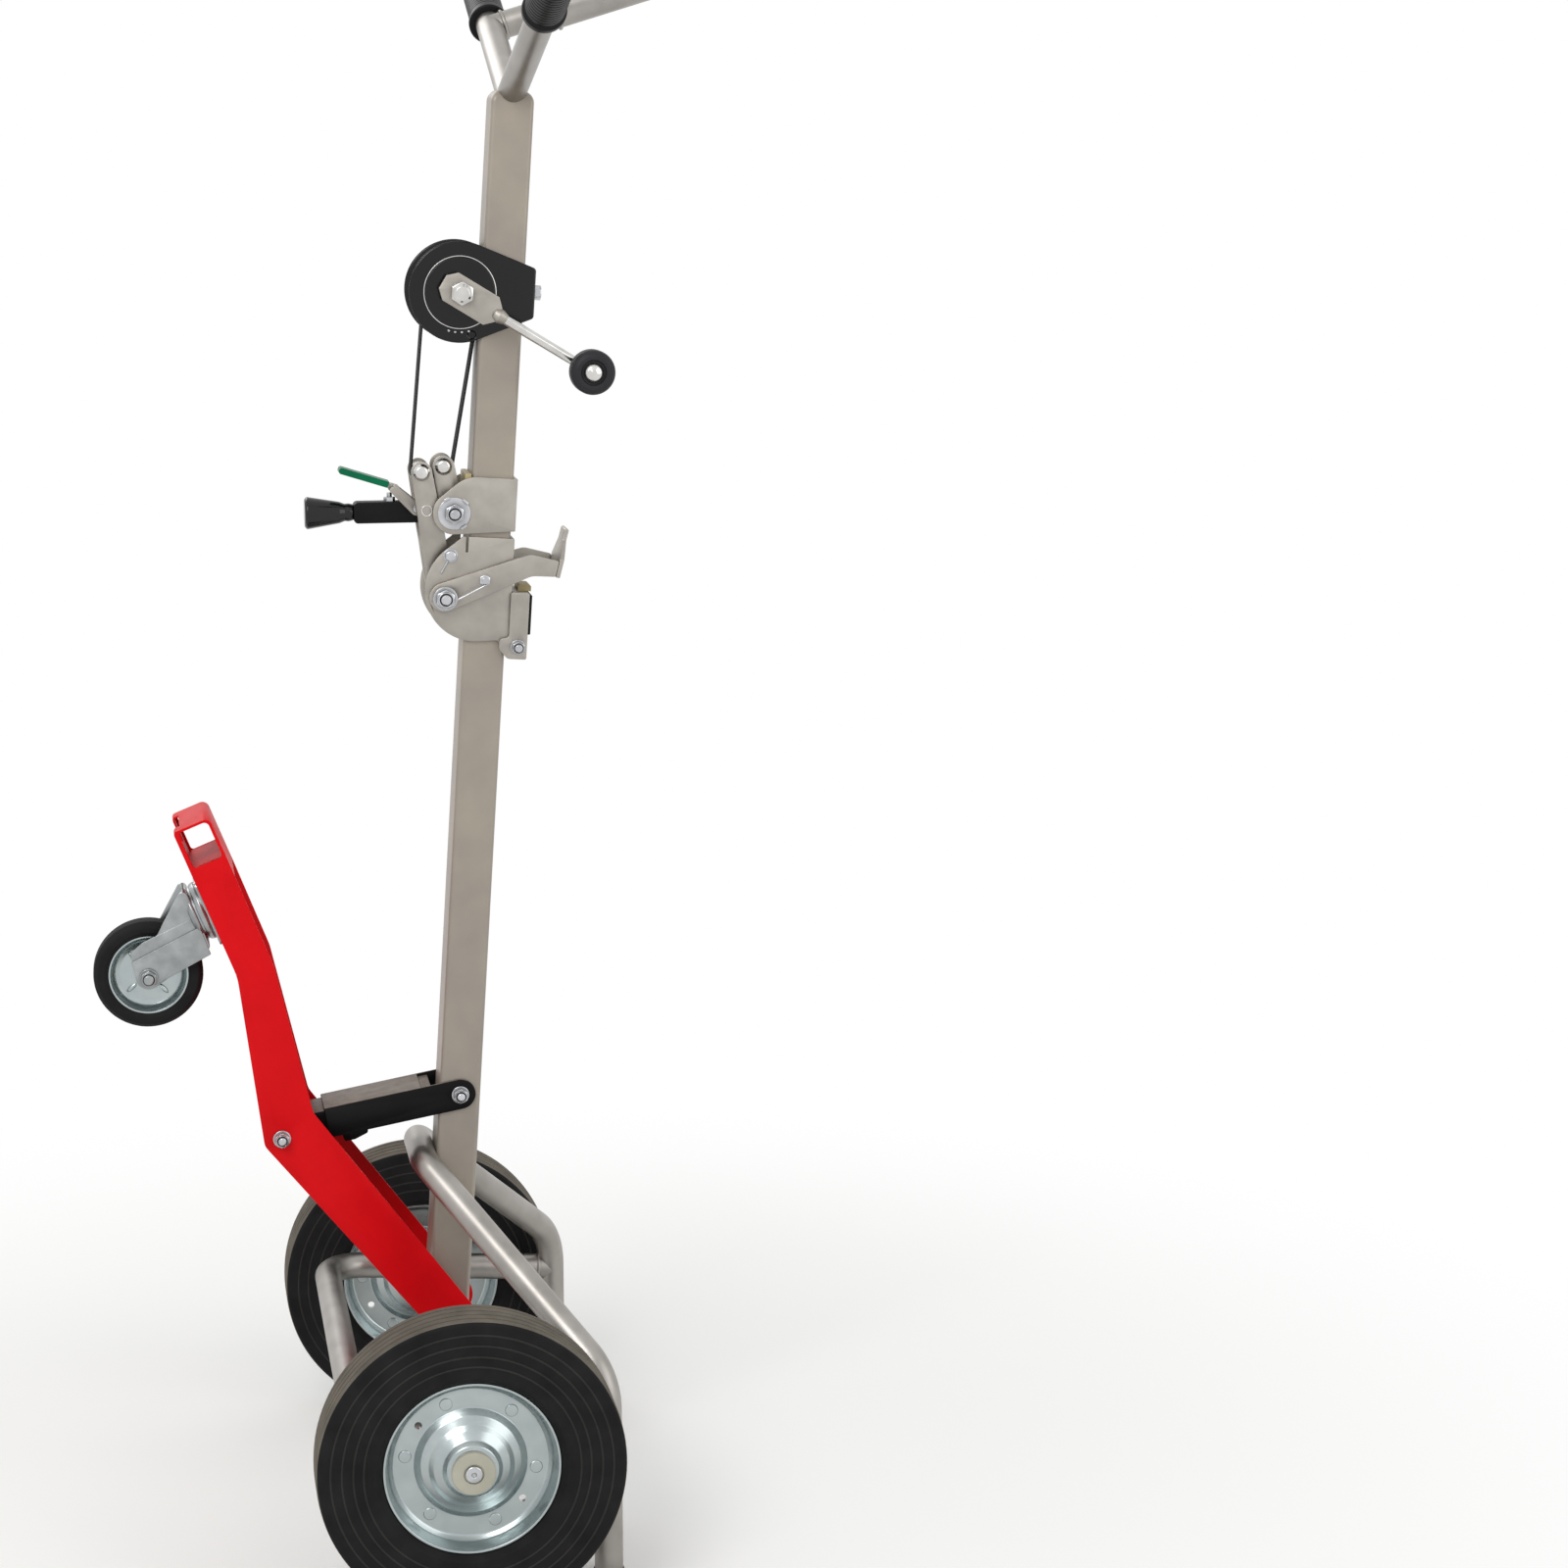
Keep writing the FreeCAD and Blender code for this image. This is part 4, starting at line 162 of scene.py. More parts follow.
def platedSteel(name, low, high, roughness, cloud, paintedShade, wear=0.09):
    # Zinc on steel: metal whose shade and gloss change in soft clouds, with a faint rolled grain below and
    # painted shade darkening its corners, which draws the steps of nuts, washers and rivets.
    material, tree, shader, place = newMaterial(name, roughness, 1.0)
    # Painted shade: ambient occlusion within the piece darkens the colour in its corners and creases.
    corners = addNode(tree, "ShaderNodeAmbientOcclusion", (),
                      {"only_local": True, "samples": 8, "Distance": plating["corner"] / 1000})
    shade = addNode(tree, "ShaderNodeMapRange", [(corners.outputs["AO"], "Value")],
                    {"From Min": plating["deep"], "From Max": plating["open"], "To Min": 1 - paintedShade})
    metal = addNode(tree, "ShaderNodeVectorMath",
                    [(mottled(tree, place, cloud, low, high), 0), (shade.outputs["Result"], 1)],
                    {"operation": "MULTIPLY"})
    tree.links.new(metal.outputs["Vector"], shader.inputs["Base Color"])
    clouds = addNode(tree, "ShaderNodeTexNoise", [(place.outputs["Object"], "Vector")],
                     {"Scale": perMetre(cloud / 2), "Detail": 3.0})
    gloss = addNode(tree, "ShaderNodeMapRange", [(clouds.outputs["Fac"], "Value")],
                    {"To Min": roughness - wear, "To Max": roughness + wear})
    tree.links.new(gloss.outputs["Result"], shader.inputs["Roughness"])
    grained(tree, shader, place, plating["grain"], plating["grainDepth"])
    return material


mould = {"patch": 28, "grain": 0.8}


def moulded(name, low, high, roughness, depth, specular):
    # Moulded plastic or rubber: nearly one colour, a little paler where it has been rubbed, with a fine grain.
    material, tree, shader, place = newMaterial(name, roughness, 0.0, specular)
    tree.links.new(mottled(tree, place, mould["patch"], low, high), shader.inputs["Base Color"])
    grained(tree, shader, place, mould["grain"], depth)
    return material


weave = {"rib": 2.9688, "depth": 0.3, "wander": 1.5}


def wovenWebbing(name, dark, light):
    # Woven strap: matt cross ribs, dark between the threads and paler on their crests as painted shade and light
    # that follows the rib height. They are drawn about three millimetres apart, twice as far as real ones.
    material, tree, shader, place = newMaterial(name, 0.85, 0.0, 0.2)
    bandsPerUnit = 20 / math.tau  # of the wave at scale 1
    ribs = addNode(tree, "ShaderNodeTexWave", [(place.outputs["Object"], "Vector")],
                   {"bands_direction": "Z", "Scale": perMetre(weave["rib"]) / bandsPerUnit,
                    "Distortion": weave["wander"]})
    # Painted shade and light: the colour follows the rib height, dark in the valleys.
    ramp = addNode(tree, "ShaderNodeValToRGB", [(ribs.outputs["Fac"], "Fac")])
    for stop, shade in zip(ramp.color_ramp.elements, (dark, light)):
        stop.color = linear(shade)
    tree.links.new(ramp.outputs["Color"], shader.inputs["Base Color"])
    bump = addNode(tree, "ShaderNodeBump", [(ribs.outputs["Fac"], "Height")],
                   {"Distance": weave["depth"] / 1000, "Strength": 1.0})
    tree.links.new(bump.outputs["Normal"], shader.inputs["Normal"])
    return material


# Powder coats are even with a soft shine, and the enamel is deep black and mirrors the lamps.
greyCoat = coatedSteel("silver-grey powder coat on steel", "#918980", "#9e9588", 0.42, 0.2, 0.5)
redCoat = coatedSteel("red powder coat on sheet steel", "#c8040d", "#d60711", 0.45, 0.0, 0.12)
blackCoat = coatedSteel("black powder coat on steel", "#0f0f10", "#161617", 0.42, 0.0, 0.1)
blackEnamel = coatedSteel("black gloss enamel on pressed steel", "#060607", "#0b0b0c", 0.14, 0.0, 0.35)
# The strut's upward faces are paler: dust, and a painted sheen of the light falling on them.
strutCoat = dustAndSheenCoat("dusty black powder coat on steel", "#0f0f10", "#161617", "#756b61", "#8f8478", 0.42, 0.1)
# Zinc is dull on the clamp's sheets, silky on the tubes, bluish on the rims and bright on bolts.
clampZinc = platedSteel("dull zinc plate on sheet steel", "#9d9891", "#aea9a1", 0.46, 24, 0.35)
tubeZinc = platedSteel("galvanised drawn tube", "#97938e", "#aaa6a1", 0.4, 30, 0.3)
brightZinc = platedSteel("bright zinc plate on steel", "#b2b4b7", "#cccdd0", 0.22, 16, 0.75)
castorZinc = platedSteel("grey zinc plate on pressed steel", "#939697", "#abafaf", 0.3, 16, 0.6)
turnedSteel = platedSteel("polished turned steel", "#c4c3c0", "#dad9d6", 0.16, 16, 0.6)
rimZinc = platedSteel("blue-passivated zinc on pressed sheet", "#a8b1b2", "#b3bbbb", 0.24, 20, 0.3, 0.03)
# Rubber is matt, near black on its sides and brown-grey with dust on the tread.
sideRubber = moulded("moulded solid rubber", "#161617", "#202021", 0.7, 0.15, 0.12)
# The side ridge crests are paler as a painted highlight.
ridgeHighlightRubber = moulded("rubber ridge crest with painted highlight", "#2a2928", "#333230", 0.75, 0.15, 0.15)
treadRubber = moulded("dusty rubber tread", "#5a554d", "#6e685e", 0.85, 0.25, 0.15)
# Plastics are smooth with a soft shine, apart from the polished trip grip.
blackPlastic = moulded("black moulded plastic", "#111112", "#181819", 0.42, 0.04, 0.15)
greyPlastic = moulded("charcoal moulded plastic", "#232326", "#2c2c2f", 0.5, 0.04, 0.2)
glossPlastic = moulded("black polished plastic", "#0b0b0c", "#111112", 0.12, 0.01, 0.4)
capPlastic = moulded("beige-grey moulded plastic", "#a2a091", "#b0ae9e", 0.42, 0.03, 0.4)
nylon = moulded("yellowed natural nylon", "#a5976c", "#b4a67c", 0.45, 0.03, 0.3)
greenDip = moulded("green dipped vinyl", "#00583a", "#006644", 0.35, 0.02, 0.14)
webbing = wovenWebbing("black woven webbing", "#080809", "#232325")

print("materials made")

nodeMaterials = {
    greyCoat: ["mast", "mast_cap"],
    tubeZinc: ["handle_arms", "handle_bow", "base_hoop", "brace_hoop", "axle"],
    redCoat: ["support_leg"],
    blackCoat: ["trip_bar", "winch_clamp_plate", "strut_latch"],
    strutCoat: ["strut_outer", "strut_inner"],
    blackEnamel: ["winch_cheeks", "brake_disc"],
    clampZinc: ["carriage_upper_bracket", "carriage_lower_bracket", "claw_arms", "claw_jaw", "clamp_levers",
                "trip_links", "lower_jaw", "release_lever", "crank_plate"],
    brightZinc: ["frame_pivot_bolts", "knee_bolt", "winch_bolts", "winch_shaft", "strap_spool",
                 "crank_fasteners", "carriage_bolts", "claw_spring_pins", "claw_springs", "trip_fasteners",
                 "wheel_hub_left", "wheel_hub_right"],
    castorZinc: ["castor_head", "castor_fork", "castor_axle"],
    turnedSteel: ["crank_rod", "clamp_lever_roller", "trip_link_roller"],
    rimZinc: ["wheel_rim_left", "wheel_rim_right", "castor_rim"],
    sideRubber: ["wheel_tyre_left", "wheel_tyre_right", "castor_tyre", "lower_jaw_pad"],
    blackPlastic: ["handle_grip_left", "handle_grip_right", "foot_plugs"],
    greyPlastic: ["crank_knob"],
    glossPlastic: ["trip_grip"],
    capPlastic: ["wheel_retainers"],
    nylon: ["slide_pads", "rim_rest"],
    greenDip: ["release_sleeve"],
    webbing: ["strap_roll", "lift_strap"],
}
materialOf = {name: material for material, names in nodeMaterials.items() for name in names}
for name, material in materialOf.items():
    mesh = frame["nodes"][name].data
    mesh.materials.clear()
    mesh.materials.append(material)
print("materials on every node")

# Camera at the photograph's viewpoint

camera = {"place": (-0.2584, -3.4459, 1.36), "turn": (79.542, 0, -10.414), "lens": 83.25, "sensor": 36}
cameraData = bpy.data.cameras.new("camera")
cameraData.lens = camera["lens"]
cameraData.sensor_width = camera["sensor"]
cameraObject = bpy.data.objects.new("camera", cameraData)
cameraObject.location = camera["place"]
cameraObject.rotation_euler = [math.radians(angle) for angle in camera["turn"]]
bpy.context.scene.collection.objects.link(cameraObject)
bpy.context.scene.camera = cameraObject

# Studio light, floor and white surroundings

bpy.context.scene.view_settings.view_transform = "Standard"
lights = [
    {"name": "key", "place": (-1.6, -2.6, 3.2), "aim": (0, 0, 0.8), "size": 1.8, "power": 58},
    {"name": "fill", "place": (2.6, -2.2, 1.8), "aim": (0, 0, 0.7), "size": 2.2, "power": 22},
    {"name": "rim", "place": (-1.2, 2.4, 2.8), "aim": (0, 0, 0.9), "size": 1.6, "power": 25},
]
surroundings = {"diffuse": 0.66, "seen": 1.0}
for light in lights:
    lamp = bpy.data.lights.new(light["name"], "AREA")
    lamp.size = light["size"]
    lamp.energy = light["power"]
    lampObject = bpy.data.objects.new(light["name"], lamp)
    lampObject.location = light["place"]
    aim = Vector(light["aim"]) - Vector(light["place"])
    lampObject.rotation_euler = aim.to_track_quat("-Z", "Y").to_euler()
    bpy.context.scene.collection.objects.link(lampObject)


def seenDirectly(tree):
    # 1 for what the camera sees, also in a reflection or through glass, and 0 for what only lights.
    path = addNode(tree, "ShaderNodeLightPath")
    seen = path.outputs["Is Camera Ray"]
    for ray in ("Is Glossy Ray", "Is Transmission Ray"):
        seen = addNode(tree, "ShaderNodeMath", [(seen, 0), (path.outputs[ray], 1)],
                       {"operation": "MAXIMUM"}).outputs[0]
    return seen


world = bpy.data.worlds.new("white surroundings")
bpy.context.scene.world = world
world.use_nodes = True
worldTree = world.node_tree
worldTree.nodes.clear()
strength = addNode(worldTree, "ShaderNodeMapRange", [(seenDirectly(worldTree), "Value")],
                   {"To Min": surroundings["diffuse"], "To Max": surroundings["seen"]})
background = addNode(worldTree, "ShaderNodeBackground", [(strength.outputs["Result"], "Strength")],
                     {"Color": (1, 1, 1, 1)})
addNode(worldTree, "ShaderNodeOutputWorld", [(background.outputs[0], "Surface")])


def makeObject(name, build, materials, angle=32):
    # Shades a build smooth up to an angle between its faces and puts it in the scene.
    mesh = bpy.data.meshes.new(name)
    build.to_mesh(mesh)
    build.free()
    for material in materials:
        mesh.materials.append(material)
    mesh.polygons.foreach_set("use_smooth", [True] * len(mesh.polygons))
    mesh.set_sharp_from_angle(angle=math.radians(angle))
    piece = bpy.data.objects.new(name, mesh)
    bpy.context.scene.collection.objects.link(piece)
    return piece


# The floor takes the object's shadow near it and runs out into the white surroundings.
floorSettings = {"half": 9.0, "colour": "#f4f4f2", "shadowReach": 0.5, "whiteFrom": 1.5}
floorMaterial, floorTree, floorShader, floorPlace = newMaterial("pale studio floor", 0.9, 0.0, 0.2)
floorShader.inputs["Base Color"].default_value = linear(floorSettings["colour"])
distance = addNode(floorTree, "ShaderNodeVectorMath", [(floorPlace.outputs["Object"], 0)], {"operation": "LENGTH"})
fade = addNode(floorTree, "ShaderNodeMapRange", [(distance.outputs["Value"], "Value")],
               {"interpolation_type": "SMOOTHSTEP", "From Min": floorSettings["shadowReach"],
                "From Max": floorSettings["whiteFrom"]})
white = addNode(floorTree, "ShaderNodeMath", [(fade.outputs["Result"], 0), (seenDirectly(floorTree), 1)],
                {"operation": "MULTIPLY"})
glow = addNode(floorTree, "ShaderNodeEmission", (), {"Strength": surroundings["seen"]})
floorMix = addNode(floorTree, "ShaderNodeMixShader",
                   [(white.outputs[0], 0), (floorShader.outputs[0], 1), (glow.outputs[0], 2)])
floorTree.links.new(floorMix.outputs[0], floorTree.nodes["Material Output"].inputs["Surface"])
floorBuild = bmesh.new()
bmesh.ops.create_grid(floorBuild, x_segments=1, y_segments=1, size=floorSettings["half"])
floor = makeObject("floor", floorBuild, [floorMaterial])
print("camera, light and floor made")

# Tools for turned, bent and softened pieces

def rounded(corners, steps=5):
    # Corners are (across, along, radius); each rounded one becomes points on an arc touching both sides.
    points = []
    for index, (across, along, radius) in enumerate(corners):
        here = Vector((across, along))
        if not radius:
            points.append(here)
            continue
        before = Vector(corners[index - 1][:2]) - here
        after = Vector(corners[(index + 1) % len(corners)][:2]) - here
        half = before.angle(after) / 2
        reach = radius / math.tan(half)
        first = here + before.normalized() * reach
        last = here + after.normalized() * reach
        centre = here + (before.normalized() + after.normalized()).normalized() * radius / math.sin(half)
        for step in range(steps + 1):
            ray = (first - centre).lerp(last - centre, step / steps).normalized() * radius
            points.append(centre + ray)
    return points


def flipped(half):
    # The other half of a profile that is the same on both sides.
    return [(across, -along, radius) for across, along, radius in reversed(half)]


def joinInto(build, part):
    mesh = bpy.data.meshes.new("joined")
    part.to_mesh(mesh)
    part.free()
    build.from_mesh(mesh)
    bpy.data.meshes.remove(mesh)


def turnInto(build, corners, placing, steps=48, materialIndex=0):
    # Turns a closed profile of (radius, along, rounding) about its own z axis and adds it to the build.
    part = bmesh.new()
    verts = [part.verts.new((point.x, 0, point.y)) for point in rounded(corners)]
    edges = [part.edges.new((verts[i - 1], verts[i])) for i in range(len(verts))]
    bmesh.ops.spin(part, geom=verts + edges, cent=(0, 0, 0), axis=(0, 0, 1), dvec=(0, 0, 0),
                   angle=2 * math.pi, steps=steps, use_merge=True, use_normal_flip=False, use_duplicate=False)
    bmesh.ops.remove_doubles(part, verts=part.verts[:], dist=1e-4)
    bmesh.ops.dissolve_degenerate(part, edges=part.edges[:], dist=1e-5)
    bmesh.ops.recalc_face_normals(part, faces=part.faces[:])
    bmesh.ops.transform(part, matrix=placing, verts=part.verts[:])
    for face in part.faces:
        face.material_index = materialIndex
    joinInto(build, part)


def ringInto(build, bore, radius, start, end, placing, edges=(0, 0), steps=32):
    # A ring, or a rod where the bore is 0, with its outer edges rounded.
    turnInto(build, [(bore, start, 0), (radius, start, edges[0]), (radius, end, edges[1]), (bore, end, 0)],
             placing, steps)


def addPiece(name, build, body, materials, nodes=(), angle=32):
    piece = makeObject(name, build, materials, angle)
    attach(piece, body)
    if nodes:
        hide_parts(*nodes)
    return piece


def turnedPiece(name, corners, placing, steps, body, material, nodes=(), angle=32):
    build = bmesh.new()
    turnInto(build, corners, placing, steps)
    return addPiece(name, build, body, [material], nodes, angle)


def vertsIn(geometry):
    return [item for item in geometry if isinstance(item, bmesh.types.BMVert)]


def edgesIn(geometry):
    return [item for item in geometry if isinstance(item, bmesh.types.BMEdge)]


def runOn(build, edges, move):
    # Extrudes a row of edges straight on and gives the row at the far end.
    grown = bmesh.ops.extrude_edge_only(build, edges=edges)["geom"]
    verts = vertsIn(grown)
    bmesh.ops.translate(build, vec=move, verts=verts)
    return [edge for edge in edgesIn(grown) if edge.verts[0] in verts and edge.verts[1] in verts]


def bendOn(build, edges, centre, axis, angle, steps):
    # Carries a row of edges round a bend and gives the row at the far end.
    verts = list({vert for edge in edges for vert in edge.verts})
    turned = bmesh.ops.spin(build, geom=verts + edges, cent=centre, axis=axis, dvec=(0, 0, 0), angle=angle,
                            steps=steps, use_merge=False, use_normal_flip=False, use_duplicate=False)
    return edgesIn(turned["geom_last"])


def softened(nodes, edge, sharp=30, segments=2):
    # A copy of each solid with its cut edges rounded, as punched, folded and coated steel has them.
    for node in nodes:
        build = bmesh.new()
        build.from_mesh(frame["nodes"][node].data)
        bmesh.ops.remove_doubles(build, verts=build.verts[:], dist=2e-6)
        bmesh.ops.dissolve_limit(build, angle_limit=math.radians(0.5), use_dissolve_boundaries=False,
                                 verts=build.verts[:], edges=build.edges[:])
        edges = [item for item in build.edges
                 if len(item.link_faces) == 2 and item.calc_face_angle() > math.radians(sharp)]
        bmesh.ops.bevel(build, geom=edges, offset=edge / 1000, offset_type="OFFSET", affect="EDGES",
                        segments=segments, profile=0.5, clamp_overlap=False, material=-1)
        bmesh.ops.triangulate(build, faces=[face for face in build.faces if len(face.verts) > 4])
        addPiece(node + "_soft", build, bodyOf[node], [materialOf[node]], [node])


def plateInto(build, outline, inner, outer, edge):
    # A flat plate drawn in the mast's side view, given its thickness between two faces and softened.
    part = bmesh.new()
    face = part.faces.new([part.verts.new((x, inner, z)) for x, z in outline])
    grown = bmesh.ops.extrude_face_region(part, geom=[face])["geom"]
    bmesh.ops.translate(part, vec=(0, outer - inner, 0), verts=vertsIn(grown))
    bmesh.ops.recalc_face_normals(part, faces=part.faces[:])
    rims = [item for item in part.edges if item.calc_face_angle() > math.radians(40)]
    bmesh.ops.bevel(part, geom=rims, offset=edge, offset_type="OFFSET", affect="EDGES", segments=2, profile=0.5,
                    clamp_overlap=True, material=-1)
    bmesh.ops.transform(part, matrix=leanFrame, verts=part.verts[:])
    joinInto(build, part)


sheetEdges = {"thin": 0.35, "plate": 0.6, "pressed": 1.0, "rolled": 1.6}
softened(["carriage_upper_bracket", "carriage_lower_bracket", "claw_arms", "claw_jaw", "clamp_levers", "trip_links",
          "lower_jaw", "crank_plate", "strut_latch"], sheetEdges["plate"])
softened(["castor_fork", "strut_outer", "trip_bar", "winch_clamp_plate"], sheetEdges["pressed"])
softened(["winch_cheeks"], sheetEdges["rolled"], segments=3)
softened(["strut_inner", "release_lever", "support_leg", "castor_head"], sheetEdges["thin"])
print("sheet pieces softened")

# Main wheels: ribbed solid tyres on riveted rims, each rim with two small holes

wheelTrack = 560
sides = (-1, 1)
hands = ((-1, "right"), (1, "left"))
tyre = {"tread": trolley["wheelRadius"], "halfWidth": 28, "bore": 75.2, "bead": 82, "sideIn": 0.7,
        "ridges": (99.6, 109, 119.4, 129.6), "ridgeHalf": 0.9, "ridgeOut": 0.1, "crest": 0.8,
        "grooves": (-16.2, -5.4, 5.4, 16.2), "grooveDepth": 2.2, "grooveTop": 1.3, "grooveBottom": 0.8,
        "treadBand": 2.6, "shoulder": 2.5, "crestBand": 0.6}
rim = {"half": [(82, 19, 0.5), (82, 21, 0.9), (79.5, 21, 0.9), (75.5, 6.5, 4), (71, 2.5, 3), (52.6, 2.5, 2),
                (46.5, 8, 7), (39.5, 11.8, 6), (35, 15.6, 7), (27.5, 20.2, 6), (23.6, 25.4, 2.5), (17.05, 27, 0)],
       "waist": 75, "rivets": (-4, 55, 115, 175, 235, 295), "rivetCircle": 61, "rivetSize": 6, "rivetHeight": 1.4,
       "flange": 2.3, "holes": (145, 325), "holeSize": 3.5, "holeDepth": 12}


def tyreProfile():
    tread, half, bead = tyre["tread"], tyre["halfWidth"], tyre["bead"]
    side, bottom = half - tyre["sideIn"], tread - tyre["grooveDepth"]
    outer = [(bead + 0.4, 19.4, 0), (bead + 0.6, 22, 1), (bead + 6, half - 0.8, 2)]
    for ridge in tyre["ridges"]:
        outer += [(ridge - tyre["ridgeHalf"], side, 0), (ridge, half + tyre["ridgeOut"], 0.3),
                  (ridge + tyre["ridgeHalf"], side, 0)]
    outer += [(tread - 3.2, half - 1.0, 2.2), (tread - 0.4, half - 3.2, 1.6)]  # the shoulder
    middle = []
    for groove in reversed(tyre["grooves"]):
        middle += [(tread, groove + tyre["grooveTop"], 0.3), (bottom, groove + tyre["grooveBottom"], 0.3),
                   (bottom, groove - tyre["grooveBottom"], 0.3), (tread, groove - tyre["grooveTop"], 0.3)]
    return [(tyre["bore"], 0, 0)] + outer + middle + flipped(outer)


def dustAndRidgeHighlights(build):
    # Tread faces are dusty, and the crests of the side ridges are paler as a painted highlight.
    for face in build.faces:
        middle = face.calc_center_median()
        reach = math.hypot(middle.x, middle.y)
        out = abs(middle.z) - tyre["halfWidth"]
        onTread = reach > tyre["tread"] - tyre["treadBand"] and out < -tyre["shoulder"]
        onRidge = any(abs(reach - ridge) < tyre["crest"] for ridge in tyre["ridges"])
        onCrest = onRidge and out > -tyre["crestBand"]
        face.material_index = 1 if onTread else 2 if onCrest else 0


def onRivetCircle(angle, height):
    turn = math.radians(angle)
    return Matrix.Translation((rim["rivetCircle"] * math.cos(turn), rim["rivetCircle"] * math.sin(turn), height))


def punchHoles(piece, placing):
    cutters = bmesh.new()
    for angle in rim["holes"]:
        bmesh.ops.create_cone(cutters, cap_ends=True, segments=32, radius1=rim["holeSize"], radius2=rim["holeSize"],
                              depth=rim["holeDepth"], matrix=placing @ onRivetCircle(angle, 0))
    cutterMesh = bpy.data.meshes.new("cutter")
    cutters.to_mesh(cutterMesh)
    cutters.free()
    cutter = bpy.data.objects.new("cutter", cutterMesh)
    bpy.context.scene.collection.objects.link(cutter)
    cutting = piece.modifiers.new("holes", "BOOLEAN")
    cutting.object = cutter
    cutting.solver = "EXACT"
    bpy.context.view_layer.update()
    cutMesh = bpy.data.meshes.new_from_object(piece.evaluated_get(bpy.context.evaluated_depsgraph_get()))
    piece.modifiers.clear()
    piece.data = cutMesh
    bpy.data.objects.remove(cutter)


for side, hand in hands:
    placing = atSide(0, 0, side, wheelTrack / 2)
    body = "wheel_" + hand
    tyreBuild = bmesh.new()
    turnInto(tyreBuild, tyreProfile(), Matrix.Identity(4), 128)
    dustAndRidgeHighlights(tyreBuild)
    bmesh.ops.transform(tyreBuild, matrix=placing, verts=tyreBuild.verts[:])
    addPiece("tyre_" + hand, tyreBuild, body, [sideRubber, treadRubber, ridgeHighlightRubber], ["wheel_tyre_" + hand], 28)
    rimCorners = [(rim["waist"], 0, 0)] + rim["half"] + flipped(rim["half"])
    rimPiece = turnedPiece("rim_" + hand, rimCorners, placing, 112, body, rimZinc, ["wheel_rim_" + hand], 38)
    punchHoles(rimPiece, placing)
    rivets = bmesh.new()
    for angle in rim["rivets"]:
        for face in (-1, 1):
            ringInto(rivets, 0, rim["rivetSize"], 0, face * rim["rivetHeight"],
                     placing @ onRivetCircle(angle, face * rim["flange"]), (0, 1), 24)
    addPiece("rivets_" + hand, rivets, body, [rimZinc])

# Plastic axle caps, the washers behind the wheels and the bolt heads in the caps. Profiles run out from the
# trolley's middle.

axleCap = {"profile": [(12.6, 308.4, 0), (20.4, 308.4, 1), (20.4, 314.4, 1.6), (9.4, 314.4, 0.5), (9.2, 312.9, 0),
                       (0, 312.9, 0), (0, 311, 0), (12.6, 311, 0)],
           "bolt": [(0, 313, 0), (8, 313, 0), (8, 316, 1.4), (2.6, 316.8, 0.6), (1.8, 315.6, 0.4), (0, 315.4, 0)],
           "washer": (12.6, 17.6, 238.8, 251.6)}  # bore, radius, start and end
capBuild = bmesh.new()
boltBuild = bmesh.new()
for side in sides:
    outward = atSide(0, 0, side)
    turnInto(capBuild, axleCap["profile"], outward)
    ringInto(capBuild, *axleCap["washer"], outward, (1, 1), 48)
    turnInto(boltBuild, axleCap["bolt"], outward, 32)
addPiece("axle_caps", capBuild, "frame", [capPlastic], ["wheel_retainers"])
addPiece("axle_ends", boltBuild, "frame", [brightZinc])
print("wheels made")

# Bent tubes of the frame and handle

tube = {"radius": 13.45, "facets": 40, "bendSteps": 16,
        "weld": [(12.85, -2.2, 0), (15.21, -1.1, 0.8), (15.21, 1.1, 0.8), (12.85, 2.2, 0)]}
foot = {"forward": 134.7, "side": 225, "plug": 7}
brace = {"knuckleHeight": 62, "knuckleBend": 60, "crown": (-33.45, -46, 217), "crownBend": 30}
base = {"rear": 104, "bend": 42, "height": 25.95}
handle = {"armRoot": 1238, "armRise": 17, "armLength": 350, "bowPlace": 226, "bowReach": 172.8, "bowRise": 21,
          "bowBend": 50}


def bentTube(name, points, bends, nodes=()):
    # Extrudes a ring along straight runs and spins it round the bends between them.
    build = bmesh.new()
    points = [Vector(point) for point in points]
    heading = (points[1] - points[0]).normalized()
    start = Matrix.Translation(points[0]) @ heading.to_track_quat("Z", "Y").to_matrix().to_4x4()
    bmesh.ops.create_circle(build, segments=tube["facets"], radius=tube["radius"], matrix=start)
    row = build.edges[:]
    here = points[0]
    for index, bend in enumerate(bends, start=1):
        corner = points[index]
        before = (points[index - 1] - corner).normalized()
        after = (points[index + 1] - corner).normalized()
        half = before.angle(after) / 2
        row = runOn(build, row, corner + before * bend / math.tan(half) - here)
        centre = corner + (before + after).normalized() * bend / math.sin(half)
        row = bendOn(build, row, centre, after.cross(before).normalized(), math.pi - 2 * half, tube["bendSteps"])
        here = corner + after * bend / math.tan(half)
    runOn(build, row, points[-1] - here)
    bmesh.ops.remove_doubles(build, verts=build.verts[:], dist=1e-3)
    bmesh.ops.holes_fill(build, edges=[edge for edge in build.edges if edge.is_boundary], sides=0)
    bmesh.ops.recalc_face_normals(build, faces=build.faces[:])
    bmesh.ops.transform(build, matrix=leanFrame, verts=build.verts[:])
    addPiece(name, build, "frame", [tubeZinc], nodes, angle=40)


def mirroredRoute(points):
    points = [Vector(point) for point in points]
    return points + [Vector((point.x, -point.y, point.z)) for point in reversed(points)]


floorPoint = leanFrame.inverted() @ (Vector((trolley["axleX"] + foot["forward"], -foot["side"], 0)) / 1000)
upward = Vector((-math.sin(lean), 0, math.cos(lean)))
armRise = math.radians(handle["armRise"])
bowRise = math.radians(handle["bowRise"])
bowAlong = Vector((math.cos(bowRise), 0, math.sin(bowRise)))


